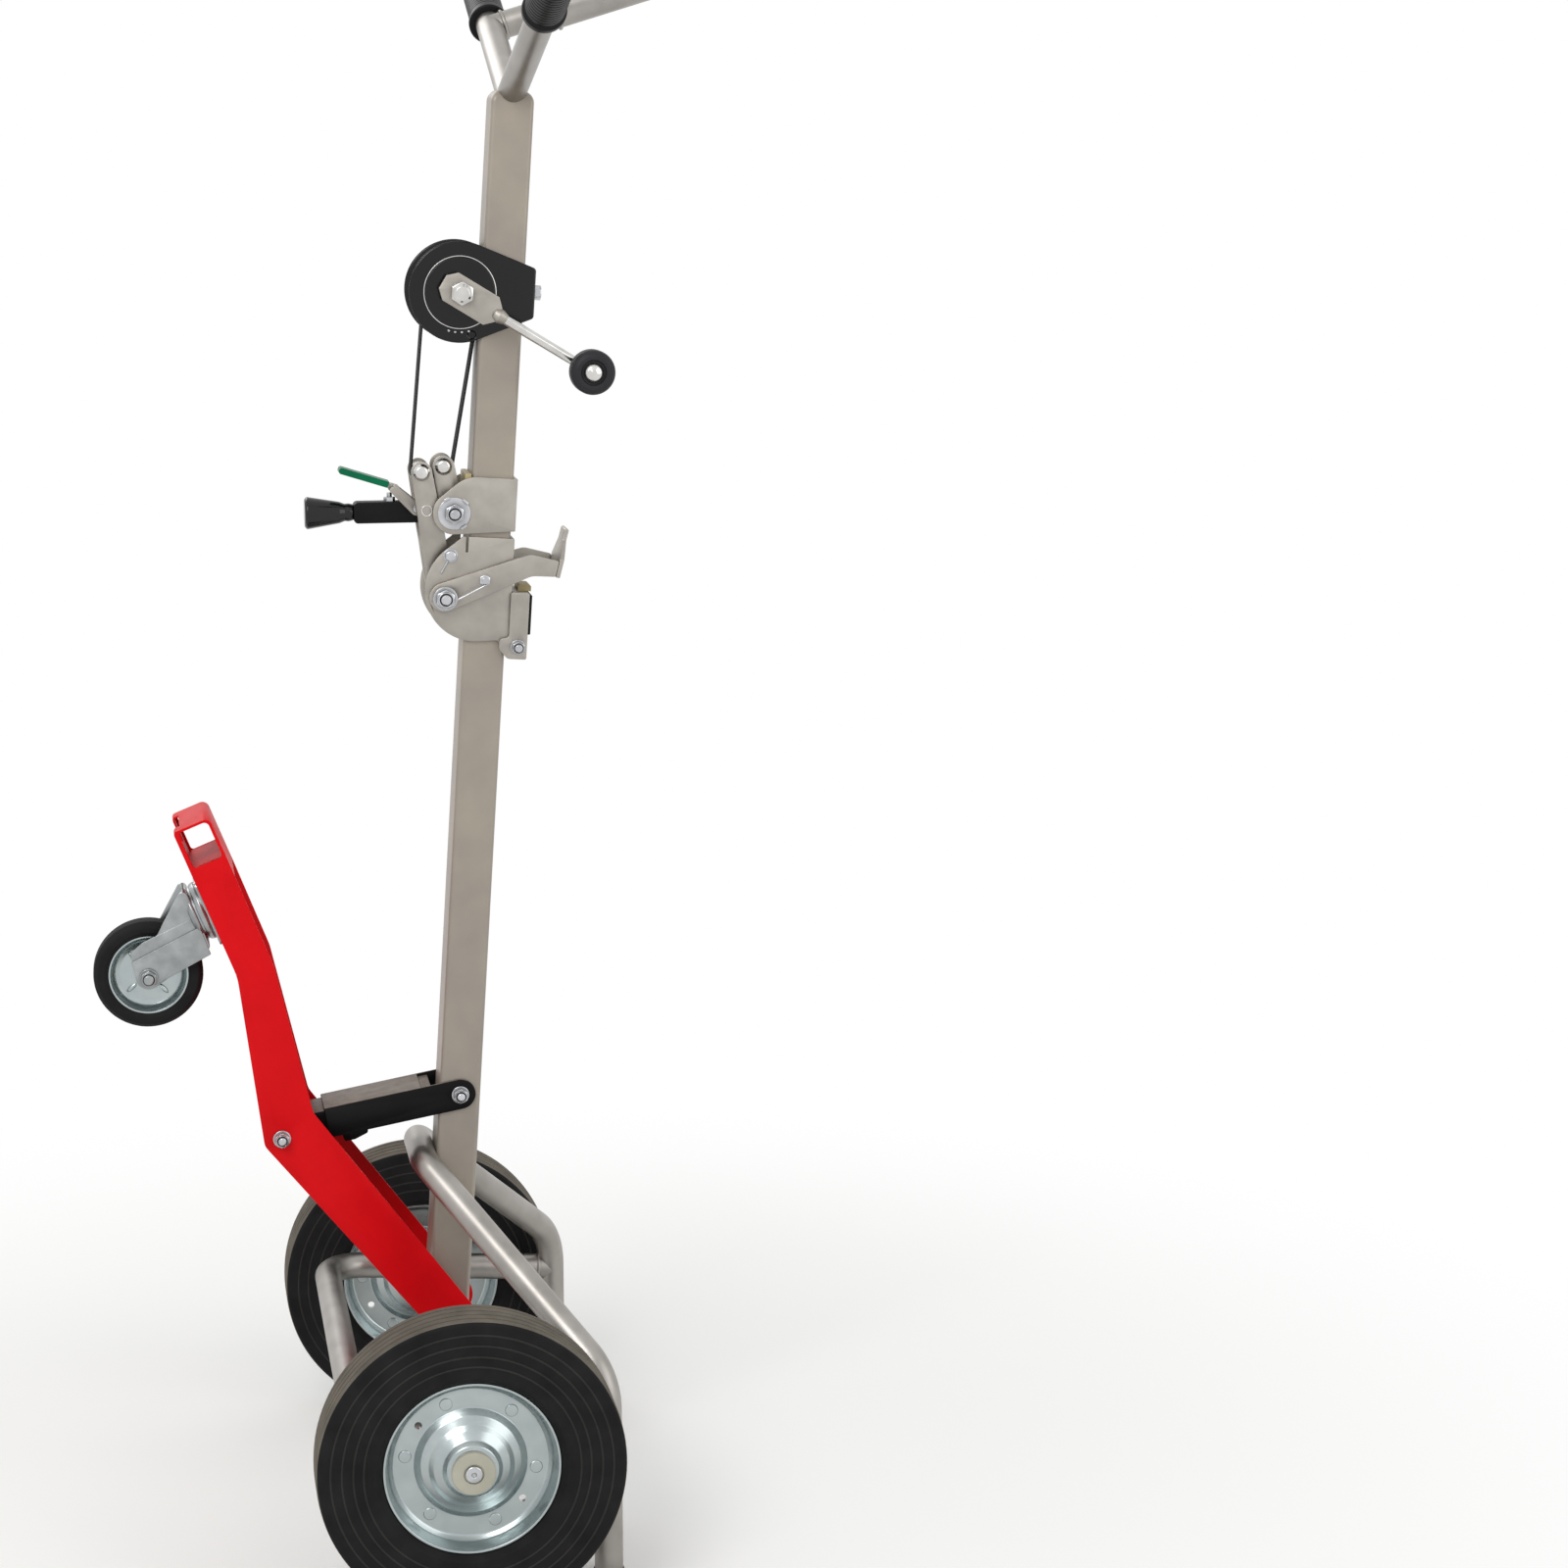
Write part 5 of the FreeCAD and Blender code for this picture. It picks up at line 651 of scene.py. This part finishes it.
def onFoot(height):
    # The point of the right foot's centre line at a height in the mast's axes.
    return floorPoint + upward * ((height - floorPoint.z) / math.cos(lean))


def onArm(side, reach):
    return Vector((0, side * reach * math.cos(armRise), handle["armRoot"] + reach * math.sin(armRise)))


braceHalf = [floorPoint + upward * foot["plug"], onFoot(brace["knuckleHeight"]), brace["crown"]]
bentTube("brace_tube", mirroredRoute(braceHalf),
         (brace["knuckleBend"], brace["crownBend"], brace["crownBend"], brace["knuckleBend"]), ["brace_hoop"])
baseHalf = [onFoot(base["height"]), (-base["rear"], -foot["side"], base["height"])]
bentTube("base_tube", mirroredRoute(baseHalf), (base["bend"],) * 2, ["base_hoop"])
bowRoot = onArm(-1, handle["bowPlace"])
bowHalf = [bowRoot, bowRoot + bowAlong * handle["bowReach"]]
bentTube("bow_tube", mirroredRoute(bowHalf), (handle["bowBend"],) * 2, ["handle_bow"])
for side, hand in hands:
    nodes = ["handle_arms"] if side == -1 else []
    bentTube("arm_" + hand, [onArm(side, 0), onArm(side, handle["armLength"])], (), nodes)

# Weld beads where a tube's end meets another tube
weldBuild = bmesh.new()
footPoint = onFoot(base["height"])
for side in sides:
    bowPoint = onArm(side, handle["bowPlace"]) + bowAlong * (tube["radius"] + 0.4)
    for placing in (aimed(footPoint.x - tube["radius"] - 0.6, side * foot["side"], footPoint.z, (1, 0, 0)),
                    aimed(*bowPoint, bowAlong)):
        turnInto(weldBuild, tube["weld"], placing)
addPiece("weld_beads", weldBuild, "frame", [tubeZinc])
print("tubes made")

# Handle grips with shallow finger rings

grip = {"start": 242, "root": [(13.5, 0, 0), (20, 0, 2), (20, 8, 2), (17.4, 11, 2)], "radius": 18,
        "ringsFrom": 16, "rings": 13, "ringPitch": 6.2, "ringLength": 4.2, "valley": 0.9,
        "tip": [(18, 98, 1), (18, 112, 9), (0, 112, 0), (0, 110, 0), (13.5, 110, 0)]}
gripProfile = list(grip["root"])
for index in range(grip["rings"]):
    along = grip["ringsFrom"] + index * grip["ringPitch"]
    gripProfile += [(grip["radius"], along, 0.6), (grip["radius"], along + grip["ringLength"], 0.6),
                    (grip["radius"] - grip["valley"], along + grip["ringLength"] + 1, 0)]
gripProfile += grip["tip"]
for side, hand in hands:
    placing = aimed(*onArm(side, grip["start"]), (0, side * math.cos(armRise), math.sin(armRise)))
    turnedPiece("grip_" + hand, gripProfile, placing, 64, "frame", blackPlastic, ["handle_grip_" + hand])
print("grips made")

# Bolts: washers, lock nuts with their threaded ends on the right, and hexagon heads on the left

fastener = {"washerHeight": 2.0, "nutHeight": 5.6, "headHeight": 6.4, "chamfer": 0.7, "collar": 0.8,
            "collarHeight": 2.2, "insert": 1.1, "studOut": 1.8}


def hexInto(build, radius, height, start, placing):
    part = bmesh.new()
    bmesh.ops.create_cone(part, cap_ends=True, segments=6, radius1=radius, radius2=radius, depth=height,
                          matrix=Matrix.Translation((0, 0, start + height / 2)))
    bmesh.ops.bevel(part, geom=part.edges[:], offset=fastener["chamfer"], offset_type="OFFSET", affect="EDGES",
                    segments=2, profile=0.5, clamp_overlap=True, material=-1)
    bmesh.ops.transform(part, matrix=placing, verts=part.verts[:])
    joinInto(build, part)


def headInto(build, placing, washer, hexagon, washerHeight, headHeight):
    ringInto(build, 0, washer, 0, washerHeight, placing, (0.4, 0.6), 40)
    hexInto(build, hexagon, headHeight, washerHeight, placing)


def lockNutInto(build, placing, shank, washer, hexagon):
    # A washer and nut, the nut's collar with its nylon insert ring in it, coloured dark as painted shade in its
    # recess, and the end of the bolt.
    seat = fastener["washerHeight"]
    top = seat + fastener["nutHeight"]
    rise = top + fastener["collarHeight"]
    stud = rise + fastener["studOut"]
    collar = hexagon * fastener["collar"]
    inset = shank + fastener["insert"]
    headInto(build, placing, washer, hexagon, seat, fastener["nutHeight"])
    turnInto(build, [(inset, top - 0.5, 0), (collar, top - 0.5, 0), (collar, top + 0.4, 0),
                     (collar - 0.5, rise, 0.4), (inset, rise, 0.3)], placing, 32)
    # The nylon insert takes the second, dark material: painted shade in the recess.
    turnInto(build, [(shank - 0.3, rise - 1.4, 0), (inset + 0.1, rise - 1.4, 0), (inset + 0.1, rise - 0.5, 0),
                     (shank - 0.3, rise - 0.5, 0)], placing, steps=32, materialIndex=1)
    turnInto(build, [(0, seat, 0), (shank - 0.2, seat, 0), (shank - 0.2, stud - 0.8, 0.3), (shank - 1.1, stud, 0.3),
                     (0, stud, 0)], placing, 32)


def boltAcross(build, x, z, half, shank, washer, hexagon):
    # A bolt right across the trolley, its nut on the right and its head on the left.
    ringInto(build, 0, shank, -half, half, atSide(x, z, 1))
    lockNutInto(build, atSide(x, z, -1, half), shank, washer, hexagon)
    headInto(build, atSide(x, z, 1, half), washer, hexagon, fastener["washerHeight"], fastener["headHeight"])


# Each bolt's x and z, half its length between the washers, and the radii of its shank, washers and hexagons.
bolts = {"leg": (8, 52, 47.3, 5, 10.5, 9.5), "strut": (0, 280, 28.3, 4, 8.6, 7.7),
         "knee": (-171.4, 237.8, 47, 4, 8.6, 7.7), "claw": (-40.8, 766.6, 42.8, 5, 11.5, 9.5),
         "trip": (-35.4, 846.3, 28.5, 5, 15.5, 9.5), "jaw": (31.5, 722, 31.8, 4, 7.2, 6.4)}
legSleeve = (5.05, 9, 25, 44.7)  # bore, radius, start and end
lockTab = {"angles": (121, 49, -52), "width": 7, "height": 4, "out": 2.2, "taper": 0.8, "edge": 0.4}
# The second material colours each nut's nylon insert dark as painted shade.
nutMaterials = [brightZinc, greyPlastic]

frameBolts = bmesh.new()
boltAcross(frameBolts, *bolts["leg"])
boltAcross(frameBolts, *bolts["strut"])
for side in sides:
    ringInto(frameBolts, *legSleeve, atSide(*bolts["leg"][:2], side))
addPiece("frame_nuts", frameBolts, "frame", nutMaterials, ["frame_pivot_bolts"])

kneeBolt = bmesh.new()
boltAcross(kneeBolt, *bolts["knee"])
addPiece("knee_nut", kneeBolt, "leg", nutMaterials, ["knee_bolt"])

carriageBolts = bmesh.new()
boltAcross(carriageBolts, *bolts["claw"])
boltAcross(carriageBolts, *bolts["trip"])
tripX, tripZ, tripHalf, _, tripWasher, _ = bolts["trip"]
for angle in lockTab["angles"]:
    # Tabs of the trip bolt's lock washer, bent up round the nut
    spoke = Vector((math.cos(math.radians(angle)), math.sin(math.radians(angle))))
    along = Vector((-spoke.y, spoke.x)) * lockTab["width"] / 2
    root = Vector((tripX, tripZ)) + spoke * (tripWasher - 1)
    tip = root + spoke * lockTab["out"]
    corners = [root - along, root + along, tip + along * lockTab["taper"], tip - along * lockTab["taper"]]
    for side in sides:
        plateInto(carriageBolts, corners, side * tripHalf, side * (tripHalf + lockTab["height"]), lockTab["edge"])
boltAcross(carriageBolts, *bolts["jaw"])
addPiece("carriage_nuts", carriageBolts, "carriage", nutMaterials, ["carriage_bolts"])
print("bolts made")

# Castor wheel, its bolt, the ball race and the pressed step along each fork cheek

castor = {"bend": (-220.4, 395.8), "top": (-286.4, 533.8), "place": 63.5, "drop": 77.8, "trail": 34.6,
          "tyre": [(38.1, 14, 0), (42, 15.6, 1.2), (47.5, 15.6, 3.5), (52, 9, 5)],
          "rim": [(5.05, 19, 0), (10, 19, 0.8), (10.4, 3.4, 2), (27, 2, 3), (32.5, 3.6, 3), (34.6, 11.5, 2),
                  (36.2, 13.6, 0.6), (38, 13.4, 0.4)],
          "lugs": 4, "lugTurn": 45, "lugSize": (6.5, 2.2, 1.8), "lugPlace": 21, "lugOut": 2.4,
          "forkRing": [(19, 12.4, 0), (27.5, 12.4, 0.8), (28.2, 15, 1.5), (25, 19, 2.5), (19, 19.6, 0)],
          "plateRing": [(23, 2.9, 0), (28.5, 2.9, 0.6), (29.4, 6, 1.6), (28.2, 10, 1.6), (23, 11.6, 0)],
          "bolt": (5, 8.8, 8)}  # radii of its shank, washers and hexagons
# Outlines on the fork's cheek run along the leg's web and into the leg from the middle of the castor's plate.
cheek = {"half": 23, "step": [(-8.4, -14, 0), (-37.6, -15.1, 1), (-43.9, -74, 8), (-42, -89.5, 8), (-14.3, -87, 3)],
         "band": [(-12, -14, 0), (1.5, -13, 0), (-0.9, -70, 6), (-6, -85, 5), (-18, -86, 0)],
         "stepOut": 2.0, "bandOut": 0.9, "sunk": 0.6, "edge": 0.7}
webRun = (Vector(castor["top"]) - Vector(castor["bend"])).normalized()
castorSeat = Vector(castor["bend"]) + webRun * castor["place"]
intoLeg = Vector((webRun.y, -webRun.x))
castorHub = castorSeat - webRun * castor["trail"] - intoLeg * castor["drop"]
castorPlacing = atSide(*castorHub, -1)
belowPlate = aimed(castorSeat.x, 0, castorSeat.y, (-intoLeg.x, 0, -intoLeg.y))

turnedPiece("castor_tread", castor["tyre"] + flipped(castor["tyre"]), castorPlacing, 80, "castor_wheel", sideRubber,
            ["castor_tyre"])
discBuild = bmesh.new()
turnInto(discBuild, castor["rim"] + flipped(castor["rim"]), castorPlacing, 80)
for lug in range(castor["lugs"]):
    turn = Matrix.Rotation(math.radians(castor["lugTurn"] + 360 / castor["lugs"] * lug), 4, "Z")
    for face in (-1, 1):
        spot = turn @ Matrix.Translation((castor["lugPlace"], 0, face * castor["lugOut"]))
        bmesh.ops.create_uvsphere(discBuild, u_segments=16, v_segments=10, radius=1,
                                  matrix=castorPlacing @ spot @ Matrix.Diagonal((*castor["lugSize"], 1)))
addPiece("castor_disc", discBuild, "castor_wheel", [rimZinc], ["castor_rim"])

castorBolt = bmesh.new()
boltAcross(castorBolt, castorHub.x, castorHub.y, cheek["half"] + cheek["stepOut"], *castor["bolt"])
for outline, out in ((cheek["step"], cheek["stepOut"]), (cheek["band"], cheek["bandOut"])):
    corners = [castorSeat + webRun * point.x + intoLeg * point.y for point in rounded(outline)]
    for side in sides:
        plateInto(castorBolt, corners, side * (cheek["half"] - cheek["sunk"]), side * (cheek["half"] + out),
                  cheek["edge"])
turnInto(castorBolt, castor["forkRing"], belowPlate, 64)
turnedPiece("castor_race", castor["plateRing"], belowPlate, 64, "leg", castorZinc)
# The dark second material is the nut insert's painted shade.
addPiece("castor_nut", castorBolt, "castor_fork", [castorZinc, greyPlastic], ["castor_axle"])
print("castor made")

# Winch: brake disc with a bright steel ring round its edge, both running out from the trolley's middle, and four
# small bright dots on the cheek under it

winch = {"place": (-41, 1054), "dots": (-102.6, -93.3, -83.7, -73.6), "dotCircle": 37.3, "cheekFace": 27.8,
         "dot": [(0, 0, 0), (1.2, 0, 0), (1.2, 0.8, 0.5), (0, 0.9, 0)]}
brake = {"disc": [(7.05, 28.3, 0), (34, 28.3, 0), (34, 32.7, 1.2), (32.4, 34.3, 0.8), (7.05, 34.3, 0)],
         "ring": [(33.4, 32.7, 0), (34.3, 32.7, 0.2), (34.1, 33.6, 0.2), (33.2, 33.8, 0.2)]}
winchX, winchZ = winch["place"]
rightOf = atSide(winchX, winchZ, -1)
turnedPiece("brake_plate", brake["disc"], rightOf, 80, "winch", blackEnamel, ["brake_disc"])
turnedPiece("brake_ring", brake["ring"], rightOf, 80, "winch", turnedSteel)
dotBuild = bmesh.new()
for angle in winch["dots"]:
    spoke = Vector((math.cos(math.radians(angle)), math.sin(math.radians(angle)))) * winch["dotCircle"]
    turnInto(dotBuild, winch["dot"], atSide(winchX + spoke.x, winchZ + spoke.y, -1, winch["cheekFace"]), 16)
addPiece("cheek_dots", dotBuild, "frame", [brightZinc])

# Crank: nut on the shaft, rod with its weld and eye, knob and knob bolt. The knob's profiles run out from the
# trolley's middle.

crank = {"turn": 27.7, "reach": 139, "plateOuter": 51.1, "nut": 11.4, "nutHeight": 7.4,
         "shaftEnd": [(0, 2, 0), (8.6, 2, 0), (8.6, 7.9, 0), (6.4, 9.8, 1), (0, 10.2, 0)], "rod": 4.7,
         "rodAlong": 40, "rodOut": 48.5, "eyeBore": 3.55, "eye": 8, "eyeHalf": 5,
         "weld": [(0, -6, 0), (5, -5, 3), (7.2, 1, 3), (5.4, 7, 2), (3.9, 10, 0), (0, 10, 0)]}
knob = {"bolt": [(0, 53.5, 0), (3.5, 53.5, 0), (3.5, 85.1, 0), (9.2, 85.1, 0), (9.2, 86.6, 1.2), (6.6, 90, 3.5),
                 (2.5, 91.4, 1.5), (0, 91.6, 0)],
        "profile": [(3.6, 53.8, 0), (13, 53.8, 3), (21, 64.5, 7), (21, 84.4, 7), (15.6, 87.8, 2.5),
                    (12.2, 87.8, 0.8), (11.2, 84.8, 0.5), (3.6, 84.8, 0)]}
crankTurn = math.radians(crank["turn"])
crankAlong = Vector((math.cos(crankTurn), 0, -math.sin(crankTurn)))


def onCrank(along, out):
    return Vector((winchX, -out, winchZ)) + crankAlong * along


nutPlacing = aimed(*onCrank(0, crank["plateOuter"]), (0, -1, 0))
rodPlacing = aimed(*onCrank(crank["rodAlong"], crank["rodOut"]), crankAlong)
knobPlacing = aimed(*onCrank(crank["reach"], 0), (0, -1, 0))
crankBuild = bmesh.new()
hexInto(crankBuild, crank["nut"], crank["nutHeight"], 0, nutPlacing)
turnInto(crankBuild, crank["shaftEnd"], nutPlacing, 32)
turnInto(crankBuild, knob["bolt"], knobPlacing, 40)
addPiece("crank_nut", crankBuild, "winch", [turnedSteel], ["crank_fasteners"])
turnedPiece("rod_weld", crank["weld"], rodPlacing, 32, "winch", clampZinc)
rodBuild = bmesh.new()
ringInto(rodBuild, 0, crank["rod"], 0, crank["reach"] - crank["rodAlong"], rodPlacing, (0, 1), 40)
ringInto(rodBuild, crank["eyeBore"], crank["eye"], crank["rodOut"] - crank["eyeHalf"],
         crank["rodOut"] + crank["eyeHalf"], knobPlacing, (1, 1), 40)
addPiece("crank_bar", rodBuild, "winch", [turnedSteel], ["crank_rod"])
turnedPiece("knob", knob["profile"], knobPlacing, 64, "knob", greyPlastic, ["crank_knob"])

# Anchor pin of the strap and the screw that clamps the winch to the mast

anchor = {"place": (-27.4, 1014.9), "radius": 3.5, "half": 28, "edge": 0.6}
# Heads are the radii of the washer and the hexagon and then their heights.
clampScrew = {"x": 29, "z": 1056.5, "head": (8.5, 7.2, 1.2, 8.4)}
pinBuild = bmesh.new()
ringInto(pinBuild, 0, anchor["radius"], -anchor["half"], anchor["half"], atSide(*anchor["place"], 1),
         (anchor["edge"],) * 2, 24)
addPiece("anchor_pin", pinBuild, "frame", [blackEnamel])
screwBuild = bmesh.new()
headInto(screwBuild, aimed(clampScrew["x"], 0, clampScrew["z"], (1, 0, 0)), *clampScrew["head"])
addPiece("winch_screws", screwBuild, "frame", [brightZinc], ["winch_bolts"])
print("winch made")

# Trip grip, spring bolts on the lower bracket, nuts on the spring pins and the punch mark on each clamp lever

tripGrip = {"barLength": 93.1, "profile": [(0, 0, 0), (7.6, 0, 1.5), (8.6, 4.5, 2), (8.2, 8, 2), (10.2, 13, 6),
                                           (15.5, 44, 2.2), (12.8, 46, 1), (0, 46, 0)]}
springBolt = {"place": (-36.7, 806), "face": 28.5, "head": (7, 5.4, 1.0, 3.4)}
springWire = {"foot": (-45, 789), "radius": 1.1, "out": 0.7}
pinNut = {"place": (-3.8, 785.2), "face": 34, "hexagon": 5.8, "height": 5.2}
leverMark = {"place": (-60.5, 847), "face": 22.5,
             "ring": [(4.3, -0.4, 0), (5.6, -0.4, 0), (5.6, 0.6, 0.3), (4.3, 0.6, 0.3)]}
gripAlong = Vector((-math.cos(lean), 0, -math.sin(lean)))
gripRoot = Vector((tripX, 0, tripZ)) + gripAlong * tripGrip["barLength"]
turnedPiece("trip_handle", tripGrip["profile"], aimed(*gripRoot, gripAlong), 56, "trip", glossPlastic, ["trip_grip"])

springBuild = bmesh.new()
pinNuts = bmesh.new()
markBuild = bmesh.new()
boltX, boltZ = springBolt["place"]
wireRun = Vector((springWire["foot"][0] - boltX, 0, springWire["foot"][1] - boltZ))
for side in sides:
    headInto(springBuild, atSide(boltX, boltZ, side, springBolt["face"]), *springBolt["head"])
    wireStart = aimed(boltX, side * (springBolt["face"] + springWire["out"]), boltZ, wireRun)
    ringInto(springBuild, 0, springWire["radius"], 0, wireRun.length, wireStart, (0, 0.6), 12)
    hexInto(pinNuts, pinNut["hexagon"], pinNut["height"], 0, atSide(*pinNut["place"], side, pinNut["face"]))
    turnInto(markBuild, leverMark["ring"], atSide(*leverMark["place"], side, leverMark["face"]), 32)
addPiece("spring_bolts", springBuild, "carriage", [brightZinc])
addPiece("pin_nuts", pinNuts, "claw", [brightZinc])
addPiece("lever_marks", markBuild, "clamp_lever", [turnedSteel])
print("clamp details made")

# Lift strap: one woven band from the roll, under both rollers and up to the anchor pin. It is made in lengths
# that meet flush.

strap = {"thickness": 1.5, "width": 25, "leverRise": 42, "tripRise": 20, "piece": 6, "bendSteps": 8,
         "circles": [winch["place"], (-67.4, 882.9), (-46.4, 889), anchor["place"]],
         "radii": (30.3, 8.2, 8.2, 3.7)}
centres = [Vector((x, 0, z)) for x, z in strap["circles"]]
normals = []
for index in range(3):
    # The side of the run on which the strap touches both circles.
    run = centres[index + 1] - centres[index]
    along = run.normalized()
    leanIn = (strap["radii"][index] - strap["radii"][index + 1]) / run.length
    normals.append(along * leanIn + Vector((along.z, 0, -along.x)) * math.sqrt(1 - leanIn ** 2))


def touching(circle, run):
    return centres[circle] + normals[run] * strap["radii"][circle]


def sweepAt(circle):
    before, after = normals[circle - 1], normals[circle]
    return (math.atan2(after.z, after.x) - math.atan2(before.z, before.x)) % (2 * math.pi)


def strapLength(name, first, last, outside, bend=None):
    # A straight length and the bend after it.
    build = bmesh.new()
    edgeOn = Vector((0, strap["width"] / 2, 0))
    row = [build.edges.new([build.verts.new(first - edgeOn), build.verts.new(first + edgeOn)])]
    pieces = max(2, round((last - first).length / strap["piece"]))
    for piece in range(pieces):
        row = runOn(build, row, (last - first) / pieces)
    if bend:
        circle, sweep = bend
        bendOn(build, row, centres[circle], (0, -1, 0), sweep, strap["bendSteps"])
    bmesh.ops.remove_doubles(build, verts=build.verts[:], dist=1e-3)
    bmesh.ops.recalc_face_normals(build, faces=build.faces[:])
    build.faces.ensure_lookup_table()
    facesOut = build.faces[0].normal.dot(outside) > 0
    bmesh.ops.solidify(build, geom=build.faces[:], thickness=-strap["thickness"] if facesOut else strap["thickness"])
    bmesh.ops.recalc_face_normals(build, faces=build.faces[:])
    bmesh.ops.transform(build, matrix=leanFrame, verts=build.verts[:])
    piece = makeObject(name, build, [webbing], 40)
    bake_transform(piece)
    return piece


leftSeam = touching(1, 0) + (touching(0, 0) - touching(1, 0)).normalized() * strap["leverRise"]
rightSeam = touching(2, 2) + (touching(3, 2) - touching(2, 2)).normalized() * strap["tripRise"]
middle = touching(1, 1).lerp(touching(2, 1), 0.5)
leftRun = strapLength("strap_left", touching(0, 0), leftSeam, normals[0])
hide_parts("lift_strap")
strapLength("strap_lever_loop", leftSeam, touching(1, 0), normals[0],
            (1, sweepAt(1)))
strapLength("strap_lever_side", middle, touching(1, 1), normals[1])
strapLength("strap_trip_side", middle, touching(2, 1), normals[1])
strapLength("strap_trip_loop", rightSeam, touching(2, 2), normals[2], (2, -sweepAt(2)))
strapLength("strap_right", touching(3, 2), rightSeam, normals[2])
print("strap made")
